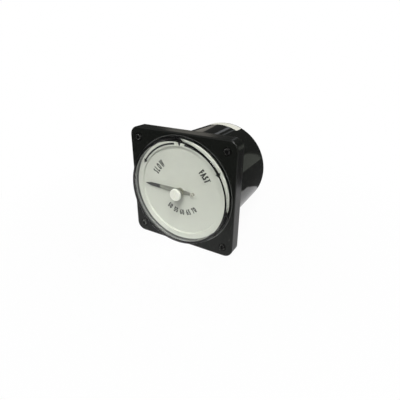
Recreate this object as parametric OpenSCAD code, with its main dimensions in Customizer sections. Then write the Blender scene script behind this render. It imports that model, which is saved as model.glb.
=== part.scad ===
// Flush panel meter with a round dial that the pointer sweeps freely, on a square flange.
// Every module draws its piece facing the viewer: x right, y up, z out of the panel towards
// the reader. facing() turns it into the part's own frame: +Y into the panel, +Z up, and the
// origin at the centre of the flange's seating face.

/* [Flange and cover] */
// Side of the square flange and cover
flange_side = 111.1; // [108:0.1:116]
// Radius of the flange's corners
flange_corner = 8.5; // [7:0.5:10]
// Thickness of the case's own flange
flange_t = 2.7; // [2.4:0.1:3.4]
// Depth of the moulded front cover
cover_depth = 10; // [9.5:0.1:11]
// Radius along the cover's front edge
cover_edge_r = 1.2; // [0.6:0.1:1.8]
// Distance of each cover screw from the centre lines
cover_screw_at = 46; // [45.5:0.1:47]

/* [Window] */
// Outer radius of the window where it leaves the cover
window_base_r = 51.3; // [51:0.1:51.5]
// Outer radius of the window at its front
window_front_r = 51.1; // [50.8:0.1:51.2]
// How far the window stands out of the cover
window_rise = 7.6; // [6.6:0.2:9]
// Wall thickness of the window
window_wall = 2.3; // [2:0.1:2.6]

/* [Centre cap] */
// Diameter of the cap in the window's centre
cap_d = 11.5; // [10:0.5:15]
// How far the cap stands out of the window
cap_proud = 2.2; // [1.5:0.1:3]
// Length of its screwdriver slot
cap_slot_length = 8.4; // [6:0.2:9]

/* [Dial] */
// Outer radius of the raised scale ring
ring_outer_r = 48.7; // [48.4:0.1:48.8]
// Inner radius of the raised scale ring
ring_inner_r = 43.2; // [42.4:0.1:43.2]
// How far the dial's floor lies behind the scale ring
dial_dish = 1.8; // [1.5:0.1:2.2]
// Radius at which the direction arrows run
arrow_r = 45.4; // [45.2:0.1:46]

/* [Pointer] */
// Radius of the pointer's tip
pointer_reach = 40; // [36:0.5:41]
// Direction in which the pointer rests, from three o'clock
pointer_angle = 178.5; // [0:0.5:360]
// Radius at which the dark blade starts
blade_start_r = 23.3; // [18:0.1:28]
// Length of the balance tail
tail_reach = 13; // [11:0.1:16]

/* [Barrel] */
// Radius of the barrel at the panel
barrel_front_r = 50.26; // [49.8:0.02:50.8]
// Radius of the barrel at its rear
barrel_rear_r = 48.25; // [47.8:0.05:49]
// Depth of the barrel behind the panel
barrel_depth = 82.4; // [82:0.2:92]
// Wall thickness of the barrel
barrel_wall = 2.8; // [2.4:0.1:3]

/* [Movement] */
// Radius of the stator's laminations
stator_r = 26; // [25.5:0.1:27]
// Radius of the stator's bore
stator_bore_r = 14; // [13.8:0.1:14.4]
// Length of each half of the stator's stack
stack_length = 11; // [10.5:0.1:11.2]
// Radius of the pointer's staff
staff_r = 0.8; // [0.6:0.05:1]

/* [Studs] */
// Spacing of the mounting studs, across and up
mounting_spacing = 85.72; // [85:0.01:86.4]
// Radius of the mounting and terminal studs
stud_r = 2.4; // [2:0.1:2.4]
// Length of the mounting studs behind the flange
mounting_stud_length = 15; // [12:1:25]
// Spacing of the terminal studs, across and up
terminal_spacing = 38.1; // [36:0.1:42]
// Length of the terminal studs behind the barrel
terminal_stud_length = 15; // [12:1:20]

/* [Hidden] */
$fn = 96;

// Clearances: overlap of a cutter past a face, slip fit of a fixed pin, running fit of a shaft
cut = 0.5;
slip = 0.03;
running = 0.05;

// Heights towards the reader, from the seating face at 0
cover_front = flange_t + cover_depth;
window_front = cover_front + window_rise;
cap_front = window_front + cap_proud;
ring_front = cover_front - 0.3;
dial_t = 0.8;
dial_floor = ring_front - dial_dish;
dial_seat = ring_front - dial_t;
pointer_z = dial_floor + 0.9;
pointer_t = 0.5;
weight_r = 1.9;

// Seat of the window inside the cover
lip_t = 2.1;
lip_back = cover_front - lip_t;
window_foot_t = 2.4;
window_foot = lip_back - window_foot_t;
gasket_t = 1.5;
spigot_front = window_foot - gasket_t;
spigot_r = 53;
window_foot_r = 53.1;
cover_bore_r = 53.4;
cover_opening_r = window_base_r + 0.7;
opening_bevel = 1.1;
window_bore_r = 49;
collar_r = 48.5;
collar_bore_r = 46.4;

// Cover screws and the bosses that take them
screw_r = 1.45;
screw_hole_r = 1.7;
screw_head_r = 2.8;
screw_head_t = 2.6;
screw_proud = 1.4;
screw_seat = cover_front + screw_proud - screw_head_t;
screw_turns = [35, 80, 120, 10];
counterbore_r = 3.7;
boss_r = 3.6;
boss_top = 5.2;
boss_pocket_r = 3.9;
boss_pocket_top = 5.4;
screw_tip = 2.4;

// Centre cap and its seat in the window
cap_r = cap_d / 2;
cap_gap = 0.15;
cap_shank_r = 4;
cap_shank_end = window_front - window_wall - 2.4;
cap_slot_w = 1.1;
cap_slot_depth = 0.9;
cap_groove_r = cap_shank_r - 0.5;
retainer_r = 6;
retainer_t = 0.9;
retainer_back = window_front - window_wall - cap_gap - retainer_t;

// Inside of the barrel
barrel_rear = -barrel_depth;
rear_wall = 3;
barrel_floor = barrel_rear + rear_wall;
barrel_edge_r = 2;
shelf_top = -8;
shelf_t = 4;
shelf_bore_r = 41.5;
plate_screw_at = 43.8;

// Movement, from the mounting plate backwards
plate_t = 2;
plate_r = 46;
plate_front = shelf_top + plate_t;
spacer_length = 5;
web_t = 2;
front_stack_front = shelf_top - spacer_length;
front_stack_back = front_stack_front - stack_length;
web_back = front_stack_back - web_t;
rear_stack_back = web_back - stack_length;
rear_bridge_front = rear_stack_back - spacer_length;
bridge_t = 2;
rear_bridge_back = rear_bridge_front - bridge_t;
bolt_circle_r = 28.2;
bolt_r = 1.5;
ear_r = 3.4;
nut_t = 2.4;

// Slots of the stator and the bundles of wire in them
slot_count = 12;
slot_inner_r = 17;
slot_outer_r = 23.6;
slot_w = 4.6;
slot_mouth_w = 1.6;
wire_gap = 0.2;
end_turn_t = 1.4;
bundle_inner_r = slot_inner_r + wire_gap;
bundle_outer_r = slot_outer_r - wire_gap;
bundle_split_r = (bundle_inner_r + bundle_outer_r) / 2;

// Coil former and rotor
former_bore_r = 3;
former_tube_r = 3.8;
former_flange_r = 10.8;
former_flange_t = 0.8;
former_length = 16;
former_front = (front_stack_back + web_back + former_length) / 2;
former_back = former_front - former_length;
sleeve_r = 2.4;
vane_gap = 0.6;
vane_t = 1.2;
vane_hub_r = 3.4;
vane_r = stator_bore_r - 0.8;
vane_span = 76;
vane_skirt = 7.2;
sleeve_front = former_front + vane_gap + vane_t + 0.6;
sleeve_back = former_back - vane_gap - vane_t - 0.6;

// Front bridge, its posts and the dial's studs
post_at = 30;
post_r = 3;
bridge_back = 3;
bridge_front = bridge_back + bridge_t;
bridge_length = 70;
bridge_w = 12;
dial_stud_at = 20;
dial_stud_r = 1.2;
bearing_r = 2.5;

// Pivots
pivot_r = 0.4;
staff_front = pointer_z + 1.8;
staff_back = rear_bridge_front + 1.4;
pivot_tip = rear_bridge_front - 1.2;
jewel_front = rear_bridge_front + 0.6;
jewel_screw_r = 2;
jewel_screw_back = rear_bridge_back - 4.5;

// Terminals and the parts behind the movement
inner_nut_t = 3;
board_back = barrel_floor + inner_nut_t;
board_t = 1.6;
board_front = board_back + board_t;
board_r = 40;
stud_inner_end = board_front + inner_nut_t + 1.2;
capacitor_r = 13;
capacitor_length = 20;
resistor_r = 4;
resistor_length = 34;
resistor_at = 29.5;
resistor_foot = 5;
washer_t = 0.9;
lead_r = 0.9;
terminal_nut_t = 3.2;
terminal_nut_face = barrel_rear - washer_t - terminal_nut_t;
nut_r = 4.6;

// Radius at which the threads of studs and nuts meet, and the heads of the mounting studs
thread_r = stud_r - 0.2;
anchor_r = 3.2;
anchor_t = 1.6;

// Print on the scale ring
print_t = 0.1;
arrow_w = 1.2;
arrow_start = 96.5;
arrow_neck = 147.5;
arrow_tip = 150.8;
arrow_head_w = 3.8;
index_w = 3.6;
index_tip_r = 43.9;
index_base_r = ring_outer_r - 0.4;

black_moulding = "#202220";
glass_tint = [0.85, 0.88, 0.85, 0.35];
dial_white = "#c8cac0";
ink = "#161716";
cream = "#ecead8";
cap_white = "#f0f2e4";
steel = "#9a9c9c";
dark_steel = "#4a4b4d";
brass = "#c4a052";
copper = "#a8562c";
phenolic = "#6b4326";
nylon = "#d9d4c2";
rubber = "#2a2a2a";

// Radius of the barrel's outside at height z
function barrel_r(z) = barrel_rear_r + (barrel_front_r - barrel_rear_r) * (z - barrel_rear) / barrel_depth;

// Turns a piece drawn facing the viewer into the part's frame
module facing() {
    rotate([90, 0, 0]) children();
}

// A ring, disc or tube between two heights
module tube(outer_r, inner_r, from, to) {
    translate([0, 0, from])
        difference() {
            cylinder(r = outer_r, h = to - from);
            translate([0, 0, -cut]) cylinder(r = inner_r, h = to - from + 2 * cut);
        }
}

module rod(r, from, to) {
    translate([0, 0, from]) cylinder(r = r, h = to - from);
}

// Hexagonal nut with the corners of both faces turned off
module hex_nut(r, hole_r, from, to) {
    t = to - from;
    face_r = 0.89 * r;
    chamfer = 0.08 * r;
    translate([0, 0, from])
        difference() {
            intersection() {
                cylinder(r = r, h = t, $fn = 6);
                rotate_extrude($fn = 48)
                    polygon([
                        [0, 0], [face_r, 0], [r + chamfer, 2 * chamfer],
                        [r + chamfer, t - 2 * chamfer], [face_r, t], [0, t],
                    ]);
            }
            translate([0, 0, -cut]) cylinder(r = hole_r, h = t + 2 * cut, $fn = 48);
        }
}

// Stud with a chamfered tip
module stud(r, tip, to) {
    chamfer = 0.6;
    rod(r, tip + chamfer, to);
    translate([0, 0, tip]) cylinder(r1 = r - chamfer, r2 = r, h = chamfer);
}

// Copies at the four corners of a square
module four_corners(at) {
    for (x = [-at, at], y = [-at, at])
        translate([x, y, 0]) children();
}

// Copies on the stator's four bolts
module at_bolts() {
    for (i = [0:3])
        rotate(45 + 90 * i) translate([bolt_circle_r, 0, 0]) children();
}

// Profile cutter that rounds an outside corner; inward points from the corner into the material
module round_off(corner, r, inward) {
    translate([corner.x + inward.x * r, corner.y + inward.y * r])
        difference() {
            translate([inward.x > 0 ? -r - cut : 0, inward.y > 0 ? -r - cut : 0]) square(r + cut);
            circle(r);
        }
}

// Square with rounded corners
module rounded_square(side, corner) {
    inner = side / 2 - corner;
    square([side, 2 * inner], center = true);
    square([2 * inner, side], center = true);
    for (x = [-inner, inner], y = [-inner, inner])
        translate([x, y]) circle(corner);
}

// Cutter that rounds the front edge of a rounded square plate
module front_edge_cutter(side, corner, r, top) {
    inner = side / 2 - corner;
    for (i = [0:3])
        rotate(90 * i) {
            translate([side / 2, inner, top])
                rotate([90, 0, 0]) linear_extrude(2 * inner) round_off([0, 0], r, [-1, -1]);
            translate([inner, inner, top])
                rotate_extrude(angle = 90) translate([corner, 0]) round_off([0, 0], r, [-1, -1]);
        }
}

module case_outside() {
    rotate_extrude()
        difference() {
            polygon([
                [0, barrel_rear], [barrel_rear_r, barrel_rear], [barrel_front_r, 0],
                [spigot_r, 0], [spigot_r, spigot_front], [collar_r, spigot_front],
                [collar_r, dial_seat], [0, dial_seat],
            ]);
            round_off([barrel_rear_r, barrel_rear], barrel_edge_r, [-1, 1]);
        }
    linear_extrude(flange_t) rounded_square(flange_side, flange_corner);
    four_corners(cover_screw_at) rod(boss_r, flange_t - cut, boss_top);
}

module case_inside() {
    rotate_extrude()
        polygon([
            [0, barrel_floor], [barrel_r(barrel_floor) - barrel_wall, barrel_floor],
            [barrel_r(shelf_top - 2 * shelf_t) - barrel_wall, shelf_top - 2 * shelf_t],
            [shelf_bore_r, shelf_top - shelf_t], [shelf_bore_r, shelf_top],
            [collar_bore_r, shelf_top], [collar_bore_r, dial_seat + cut], [0, dial_seat + cut],
        ]);
}

// Moulded case: barrel, flange, window spigot, dial collar and the shelf for the movement
module case() {
    color(black_moulding) facing()
        difference() {
            case_outside();
            case_inside();
            four_corners(cover_screw_at) rod(screw_r + running, screw_tip - 0.3, boss_top + cut);
            four_corners(mounting_spacing / 2) rod(anchor_r, -cut, anchor_t);
            four_corners(terminal_spacing / 2) rod(stud_r + running, barrel_rear - cut, barrel_floor + cut);
            plate_screw_places() rod(screw_r + running, shelf_top - shelf_t + 1, shelf_top + cut);
        }
}

// Moulded front cover with its round opening, bevelled lip and counterbored corners
module front_cover() {
    color(black_moulding) facing()
        difference() {
            translate([0, 0, flange_t])
                linear_extrude(cover_depth) rounded_square(flange_side, flange_corner);
            front_edge_cutter(flange_side, flange_corner, cover_edge_r, cover_front);
            rod(cover_bore_r, flange_t - cut, lip_back);
            rod(cover_opening_r, lip_back - cut, cover_front + cut);
            rotate_extrude()
                polygon([
                    [cover_opening_r - cut, cover_front + cut],
                    [cover_opening_r - cut, cover_front - opening_bevel],
                    [cover_opening_r, cover_front - opening_bevel],
                    [cover_opening_r + opening_bevel, cover_front],
                    [cover_opening_r + opening_bevel, cover_front + cut],
                ]);
            four_corners(cover_screw_at) {
                rod(boss_pocket_r, flange_t - cut, boss_pocket_top);
                rod(screw_hole_r, flange_t, cover_front);
                rod(counterbore_r, screw_seat, cover_front + cut);
            }
        }
}

// Cross-slotted cheese-head screw drawn on its axis
module slotted_screw(shank_r, head_r, head_t, seat, tip) {
    slot_w = head_r * 0.32;
    difference() {
        union() {
            rod(head_r, seat, seat + head_t);
            rod(shank_r, tip, seat + cut);
        }
        translate([-head_r - cut, -slot_w / 2, seat + head_t * 0.55])
            cube([2 * (head_r + cut), slot_w, head_t]);
    }
}

// Slotted round-topped screws that hold the cover to the case
module cover_screws() {
    slot_w = 0.9;
    slot_depth = 1.2;
    head_top = screw_seat + screw_head_t;
    color(ink) facing()
        for (i = [0:3])
            rotate(90 * i) translate([cover_screw_at, cover_screw_at, 0]) rotate(screw_turns[i])
                difference() {
                    union() {
                        rotate_extrude()
                            difference() {
                                translate([0, screw_seat]) square([screw_head_r, screw_head_t]);
                                round_off([screw_head_r, head_top], 1, [-1, -1]);
                            }
                        rod(screw_r, screw_tip, screw_seat + cut);
                    }
                    translate([-counterbore_r, -slot_w / 2, head_top - slot_depth])
                        cube([2 * counterbore_r, slot_w, screw_head_t]);
                }
}

// Clear moulded cup with a foot under the cover's lip and a hole for the centre cap
module window() {
    inside_front = window_front - window_wall;
    inner_front_r = window_front_r - window_wall;
    color(glass_tint) facing() rotate_extrude()
        difference() {
            polygon([
                [cap_shank_r + running, inside_front], [inner_front_r, inside_front],
                [window_bore_r, ring_front + 0.2], [window_bore_r, window_foot],
                [window_foot_r, window_foot], [window_foot_r, lip_back],
                [window_base_r, lip_back], [window_base_r, cover_front],
                [window_front_r, window_front], [cap_shank_r + running, window_front],
            ]);
            round_off([window_front_r, window_front], 1.5, [-1, -1]);
        }
}

// Flat gasket between the window's foot and the case
module window_gasket() {
    color(rubber) facing() tube(window_foot_r - 0.3, window_bore_r + 0.6, spigot_front, window_foot);
}

// Slotted cap that fills the window's central hole
module center_cap() {
    seat = window_front + cap_gap;
    color(cap_white) facing()
        difference() {
            union() {
                rotate_extrude()
                    difference() {
                        translate([0, seat]) square([cap_r, cap_front - seat]);
                        round_off([cap_r, cap_front], 0.8, [-1, -1]);
                    }
                rod(cap_shank_r, cap_shank_end, seat + cut);
            }
            translate([-cap_slot_w / 2, -cap_slot_length / 2, cap_front - cap_slot_depth])
                cube([cap_slot_w, cap_slot_length, cap_slot_depth + cut]);
            tube(cap_shank_r + cut, cap_groove_r, retainer_back, retainer_back + retainer_t);
        }
}

// Split ring that snaps into the cap's groove behind the window
module cap_retainer() {
    gap_w = 2.4;
    color(steel) facing()
        difference() {
            tube(retainer_r, cap_groove_r + slip, retainer_back + slip, retainer_back + retainer_t - slip);
            translate([-gap_w / 2, -retainer_r - cut, retainer_back - cut])
                cube([gap_w, retainer_r, retainer_t + 2 * cut]);
        }
}

// Stamped dial: a dished floor and the raised scale ring round it
module dial_plate() {
    step_run = 0.4;
    hole_r = 2.2;
    color(dial_white) facing() rotate_extrude()
        difference() {
            polygon([
                [hole_r, dial_floor - dial_t], [ring_inner_r + dial_t - step_run, dial_floor - dial_t],
                [ring_inner_r + dial_t, dial_seat], [ring_outer_r, dial_seat],
                [ring_outer_r, ring_front], [ring_inner_r, ring_front],
                [ring_inner_r - step_run, dial_floor], [hole_r, dial_floor],
            ]);
            round_off([ring_outer_r, ring_front], 0.25, [-1, -1]);
        }
}

// Direction arrow: an arc of even width that ends in a triangular head
module direction_arrow() {
    rotate(arrow_start)
        rotate_extrude(angle = arrow_neck + 0.5 - arrow_start)
            translate([arrow_r - arrow_w / 2, 0]) square([arrow_w, print_t]);
    inner = arrow_r - arrow_head_w / 2;
    outer = arrow_r + arrow_head_w / 2;
    linear_extrude(print_t)
        polygon([
            [inner * cos(arrow_neck), inner * sin(arrow_neck)],
            [outer * cos(arrow_neck), outer * sin(arrow_neck)],
            [arrow_r * cos(arrow_tip), arrow_r * sin(arrow_tip)],
        ]);
}

// Printed arrows for slow and fast, and the index mark at the top
module dial_print() {
    color(ink) facing() translate([0, 0, ring_front]) {
        direction_arrow();
        mirror([1, 0, 0]) direction_arrow();
        linear_extrude(print_t)
            polygon([[-index_w / 2, index_base_r], [0, index_tip_r], [index_w / 2, index_base_r]]);
    }
}

// Studs welded to the back of the dial; they stand on the front bridge
module dial_studs() {
    color(steel) facing()
        for (x = [-dial_stud_at, dial_stud_at])
            translate([x, 0, 0]) {
                rod(2.2, bridge_front, dial_floor - dial_t);
                rod(dial_stud_r, bridge_back - 2.6, bridge_front + cut);
            }
}

module dial_stud_nuts() {
    color(brass) facing()
        for (x = [-dial_stud_at, dial_stud_at])
            translate([x, 0, 0]) hex_nut(2.5, dial_stud_r + slip, bridge_back - 1.8, bridge_back);
}

// Turns a piece with the pointer's resting direction; the pointer is drawn along +x
module along_pointer() {
    facing() rotate(pointer_angle) children();
}

// Flat light arm from the balance tail to the blade
module pointer_arm() {
    hub_w = 5;
    neck_w = 4;
    tail_w = 2.2;
    z = pointer_z - pointer_t / 2;
    color("#b9bab2") along_pointer()
        difference() {
            translate([0, 0, z])
                linear_extrude(pointer_t)
                    polygon([
                        [-tail_reach, -tail_w / 2], [-tail_reach, tail_w / 2], [0, hub_w / 2],
                        [blade_start_r, neck_w / 2], [blade_start_r, -neck_w / 2], [0, -hub_w / 2],
                    ]);
            rod(staff_r + slip, z - cut, z + pointer_t + cut);
            translate([-tail_reach, 0, 0]) rod(weight_r, z - cut, z + pointer_t + cut);
        }
}

// Dark lance that reads against the scale
module pointer_blade() {
    blade_t = 0.3;
    root_w = 4;
    shoulder_w = 3.4;
    shoulder_r = pointer_reach - 6.4;
    tip_w = 0.5;
    color(ink) along_pointer() translate([0, 0, pointer_z - blade_t / 2])
        linear_extrude(blade_t)
            polygon([
                [blade_start_r, -root_w / 2], [shoulder_r, -shoulder_w / 2],
                [pointer_reach, -tip_w / 2], [pointer_reach, tip_w / 2],
                [shoulder_r, shoulder_w / 2], [blade_start_r, root_w / 2],
            ]);
}

// Ring-shaped balance weight at the end of the tail
module pointer_weight() {
    weight_bore_r = 0.7;
    weight_length = 2.43;
    color(steel) along_pointer() translate([-tail_reach, 0, 0])
        tube(weight_r - slip, weight_bore_r, dial_floor + 0.3, dial_floor + 0.3 + weight_length);
}

// Collar that clamps the arm on the staff, in two flanges with the arm between them
module pointer_hub() {
    hub_r = 4;
    color(steel) facing() {
        tube(hub_r, staff_r + slip, pointer_z + pointer_t / 2, pointer_z + pointer_t / 2 + 1);
    }
}

// Steel staff with its rear pivot
module pointer_staff() {
    color(steel) facing() {
        rod(staff_r, staff_back, staff_front);
        translate([0, 0, staff_back - 0.6]) cylinder(r1 = pivot_r, r2 = staff_r, h = 0.6);
        rod(pivot_r, pivot_tip, staff_back - 0.6);
    }
}

// Soft-iron sleeve that runs through the polarising coil
module rotor_sleeve() {
    color(dark_steel) facing() tube(sleeve_r, staff_r + slip, sleeve_back, sleeve_front);
}

// Soft-iron vane: a sector plate on a hub with a skirt along the air gap
module vane() {
    difference() {
        union() {
            rod(vane_hub_r, 0, vane_t);
            rotate(-vane_span / 2)
                rotate_extrude(angle = vane_span) square([vane_r, vane_t]);
            rotate(-vane_span / 2)
                rotate_extrude(angle = vane_span)
                    translate([vane_r - vane_t, vane_t - vane_skirt]) square([vane_t, vane_skirt]);
        }
        rod(sleeve_r + slip, -cut, vane_t + cut);
    }
}

module front_vane() {
    color(dark_steel) along_pointer() translate([0, 0, former_front + vane_gap]) vane();
}

module rear_vane() {
    color(dark_steel) along_pointer()
        rotate(180) translate([0, 0, former_back - vane_gap]) mirror([0, 0, 1]) vane();
}

// Three places on the shelf where the movement's plate is screwed down
module plate_screw_places() {
    for (a = [90, 210, 330])
        rotate(a) translate([plate_screw_at, 0, 0]) children();
}

// Round plate that carries the movement on the case's shelf
module movement_plate() {
    opening_r = 17;
    color(steel) facing()
        difference() {
            tube(plate_r, opening_r, shelf_top, plate_front);
            plate_screw_places() rod(screw_hole_r, shelf_top - cut, plate_front + cut);
            at_bolts() rod(bolt_r + slip, shelf_top - cut, plate_front + cut);
            for (x = [-post_at, post_at])
                translate([x, 0, 0]) rod(1.8 + slip, shelf_top - cut, plate_front + cut);
        }
}

module plate_screws() {
    head_r = 1.9;
    color(steel) facing() plate_screw_places()
        slotted_screw(screw_r, head_r, 1.5, plate_front, shelf_top - shelf_t + 1.3);
}

// Posts riveted into the plate that hold the front bridge
module bridge_posts() {
    color(brass) facing()
        for (x = [-post_at, post_at])
            translate([x, 0, 0])
                difference() {
                    union() {
                        rod(post_r, plate_front, bridge_back);
                        rod(1.8, shelf_top, plate_front + cut);
                    }
                    rod(1.3 + slip, -2.3, bridge_back + cut);
                }
}

// Bar across the front of the movement
module front_bridge() {
    color(brass) facing()
        difference() {
            translate([0, 0, bridge_back])
                linear_extrude(bridge_t) {
                    square([bridge_length - bridge_w, bridge_w], center = true);
                    for (x = [-1, 1])
                        translate([x * (bridge_length - bridge_w) / 2, 0]) circle(bridge_w / 2);
                }
            rod(bearing_r + slip, bridge_back - cut, bridge_front + cut);
            for (x = [-dial_stud_at, dial_stud_at])
                translate([x, 0, 0]) rod(dial_stud_r + slip, bridge_back - cut, bridge_front + cut);
            for (x = [-post_at, post_at])
                translate([x, 0, 0]) rod(1.3 + slip, bridge_back - cut, bridge_front + cut);
        }
}

module bridge_screws() {
    color(steel) facing()
        for (x = [-post_at, post_at])
            translate([x, 0, 0]) slotted_screw(1.3, 2.6, 1.6, bridge_front, -2);
}

// Flanged bush in which the front of the staff runs
module front_bearing() {
    flange_r = 3.6;
    color(brass) facing()
        difference() {
            union() {
                rod(bearing_r, bridge_back - 0.8, bridge_front + cut);
                rod(flange_r, bridge_front, bridge_front + 1);
            }
            rod(staff_r + running, bridge_back - 2, bridge_front + 2);
        }
}

module stator_bolts() {
    color(steel) facing() at_bolts()
        slotted_screw(bolt_r, 2.8, 2, plate_front, rear_bridge_back - nut_t - 1);
}

module stator_spacers() {
    color(brass) facing() at_bolts() {
        tube(3, bolt_r + slip, front_stack_front, shelf_top);
        tube(3, bolt_r + slip, rear_bridge_front, rear_stack_back);
    }
}

// Outline of a lamination: a ring with four ears
module lamination_outline() {
    circle(stator_r);
    at_bolts() circle(ear_r);
}

// Openings of a lamination: twelve slots with narrow mouths, and the bolt holes
module lamination_slots() {
    for (i = [0:slot_count - 1])
        rotate(i * 360 / slot_count + 180 / slot_count)
            translate([slot_inner_r, -slot_w / 2]) square([slot_outer_r - slot_inner_r, slot_w]);
    at_bolts() circle(bolt_r + slip);
}

module lamination_mouths() {
    circle(stator_bore_r);
    for (i = [0:slot_count - 1])
        rotate(i * 360 / slot_count + 180 / slot_count)
            translate([stator_bore_r - 1, -slot_mouth_w / 2])
                square([slot_inner_r - stator_bore_r + 1.5, slot_mouth_w]);
}

// Half of the laminated stator
module stack(back) {
    color(dark_steel) facing() translate([0, 0, back])
        linear_extrude(stack_length)
            difference() {
                lamination_outline();
                lamination_slots();
                lamination_mouths();
            }
}

module front_stack() {
    stack(front_stack_back);
}

module rear_stack() {
    stack(rear_stack_back);
}

// Moulded former: a bobbin on a web that is clamped between the two stacks
module coil_former() {
    color(nylon) facing()
        difference() {
            union() {
                rod(former_tube_r, former_back, former_front);
                rod(former_flange_r, former_back, former_back + former_flange_t);
                rod(former_flange_r, former_front - former_flange_t, former_front);
                translate([0, 0, web_back])
                    linear_extrude(web_t)
                        difference() {
                            lamination_outline();
                            lamination_slots();
                        }
            }
            rod(former_bore_r, former_back - cut, former_front + cut);
        }
}

// Two windings on the bobbin, one on each side of the web
module polarising_coil() {
    coil_r = former_flange_r - 0.5;
    color(copper) facing() {
        tube(coil_r, former_tube_r, front_stack_back, former_front - former_flange_t);
        tube(coil_r, former_tube_r, former_back + former_flange_t, web_back);
    }
}

// One phase: bundles in six of the slots, joined by an end turn in front and one behind
module phase_winding(first_slot, turn_inner_r, turn_outer_r) {
    front = front_stack_front + end_turn_t + wire_gap;
    back = rear_stack_back - end_turn_t - wire_gap;
    bundle_w = slot_w - 2 * wire_gap;
    for (i = [0, 1, 2, 6, 7, 8])
        rotate((i + first_slot) * 360 / slot_count + 180 / slot_count) {
            translate([bundle_inner_r, -bundle_w / 2, rear_stack_back])
                cube([bundle_outer_r - bundle_inner_r, bundle_w, front_stack_front - rear_stack_back]);
            translate([turn_inner_r, -bundle_w / 2, back + end_turn_t / 2])
                cube([turn_outer_r - turn_inner_r, bundle_w, front - back - end_turn_t]);
        }
    tube(turn_outer_r, turn_inner_r, front - end_turn_t, front);
    tube(turn_outer_r, turn_inner_r, back, back + end_turn_t);
}

module phase_a_winding() {
    color(copper) facing() phase_winding(0, bundle_split_r + wire_gap, bundle_outer_r);
}

module phase_b_winding() {
    color("#8c3f22") facing() phase_winding(3, bundle_inner_r, bundle_split_r - wire_gap);
}

// Cross-shaped bridge behind the stator
module rear_bridge() {
    arm_w = 7;
    color(brass) facing()
        difference() {
            translate([0, 0, rear_bridge_back])
                linear_extrude(bridge_t) {
                    for (a = [45, 135])
                        rotate(a) square([2 * bolt_circle_r, arm_w], center = true);
                    at_bolts() circle(arm_w / 2);
                    circle(8);
                }
            rod(jewel_screw_r + slip, rear_bridge_back - cut, rear_bridge_front + cut);
            at_bolts() rod(bolt_r + slip, rear_bridge_back - cut, rear_bridge_front + cut);
        }
}

module stator_nuts() {
    color(brass) facing() at_bolts()
        hex_nut(3, bolt_r + slip, rear_bridge_back - nut_t, rear_bridge_back);
}

// Jewel screw that holds the rear pivot
module rear_jewel_screw() {
    color(steel) facing()
        difference() {
            rod(jewel_screw_r, jewel_screw_back, jewel_front);
            rod(pivot_r + running, pivot_tip - 0.3, jewel_front + cut);
            translate([-jewel_screw_r - cut, -0.35, jewel_screw_back - cut])
                cube([2 * (jewel_screw_r + cut), 0.7, 1 + cut]);
        }
}

module jewel_lock_nut() {
    color(brass) facing()
        hex_nut(4, jewel_screw_r + slip, rear_bridge_back - nut_t, rear_bridge_back);
}

// Round board clamped on the terminal studs inside the case
module component_board() {
    color(phenolic) facing()
        difference() {
            rod(board_r, board_back, board_front);
            four_corners(terminal_spacing / 2) rod(thread_r + slip, board_back - cut, board_front + cut);
        }
}

// Wire-wound resistors, each a ceramic tube on two strap feet
module series_resistors() {
    height = board_front + resistor_foot + resistor_r - 2;
    color("#5d6b54") facing()
        for (x = [-resistor_at, resistor_at])
            translate([x, 0, height]) {
                rotate([90, 0, 0]) cylinder(r = resistor_r, h = resistor_length, center = true);
                for (y = [-1, 1])
                    translate([-2, y * (resistor_length / 2 - 3) - 1, board_front - height])
                        cube([4, 2, height - board_front]);
            }
}

// Metal-canned capacitor that shifts one phase
module phase_capacitor() {
    top = board_front + capacitor_length;
    color("#a9abac") facing()
        rotate_extrude()
            difference() {
                translate([0, board_front]) square([capacitor_r, capacitor_length]);
                round_off([capacitor_r, top], 1.5, [-1, -1]);
            }
}

// A lead that leaves a winding, turns outwards, turns back and runs on to the board
module lead(from_r, to_r, from_z, turn_z) {
    bend = 3;
    rise_end = turn_z + bend;
    fall_start = turn_z - bend;
    translate([from_r, 0, 0]) rod(lead_r, rise_end, from_z);
    translate([from_r + bend, 0, rise_end])
        rotate([90, 0, 0]) rotate(180) rotate_extrude(angle = 90) translate([bend, 0]) circle(lead_r);
    translate([from_r + bend, 0, turn_z])
        rotate([0, 90, 0]) cylinder(r = lead_r, h = to_r - from_r - 2 * bend);
    translate([to_r - bend, 0, fall_start])
        rotate([90, 0, 0]) rotate_extrude(angle = 90) translate([bend, 0]) circle(lead_r);
    translate([to_r, 0, 0]) rod(lead_r, board_front, fall_start);
}

// Insulated leads from the end turns of the windings to the component board
module internal_leads() {
    turns_back = rear_stack_back - end_turn_t - wire_gap;
    color("#8d2b22") facing()
        for (a = [90, 270]) {
            rotate(a) lead(bundle_outer_r - 1.3, 33, turns_back, turns_back - 8);
            rotate(a - 16) lead(bundle_inner_r + 1.3, 30, turns_back, turns_back - 11);
        }
}

// Terminal studs through the rear wall and the board
module terminal_studs() {
    color(brass) facing() four_corners(terminal_spacing / 2)
        {
            stud(stud_r, barrel_rear - terminal_stud_length, terminal_nut_face);
            rod(thread_r, terminal_nut_face - cut, stud_inner_end);
        }
}

module terminal_washers() {
    color(brass) facing() four_corners(terminal_spacing / 2)
        tube(5.2, stud_r + slip, barrel_rear - washer_t, barrel_rear);
}

module terminal_nuts() {
    color(brass) facing() four_corners(terminal_spacing / 2)
        hex_nut(nut_r, thread_r + slip, terminal_nut_face, barrel_rear - washer_t);
}

// Nuts inside the case: one under the board and one on it, on every terminal stud
module inner_nuts() {
    color(brass) facing() four_corners(terminal_spacing / 2) {
        hex_nut(nut_r, thread_r + slip, barrel_floor, board_back);
        hex_nut(nut_r, thread_r + slip, board_front, board_front + inner_nut_t);
    }
}

// Mounting studs with round heads moulded into the flange, flush with its seating face
module mounting_studs() {
    color(steel) facing() four_corners(mounting_spacing / 2) {
        stud(stud_r, -mounting_stud_length, cut);
        rod(anchor_r, 0, anchor_t);
    }
}

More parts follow.
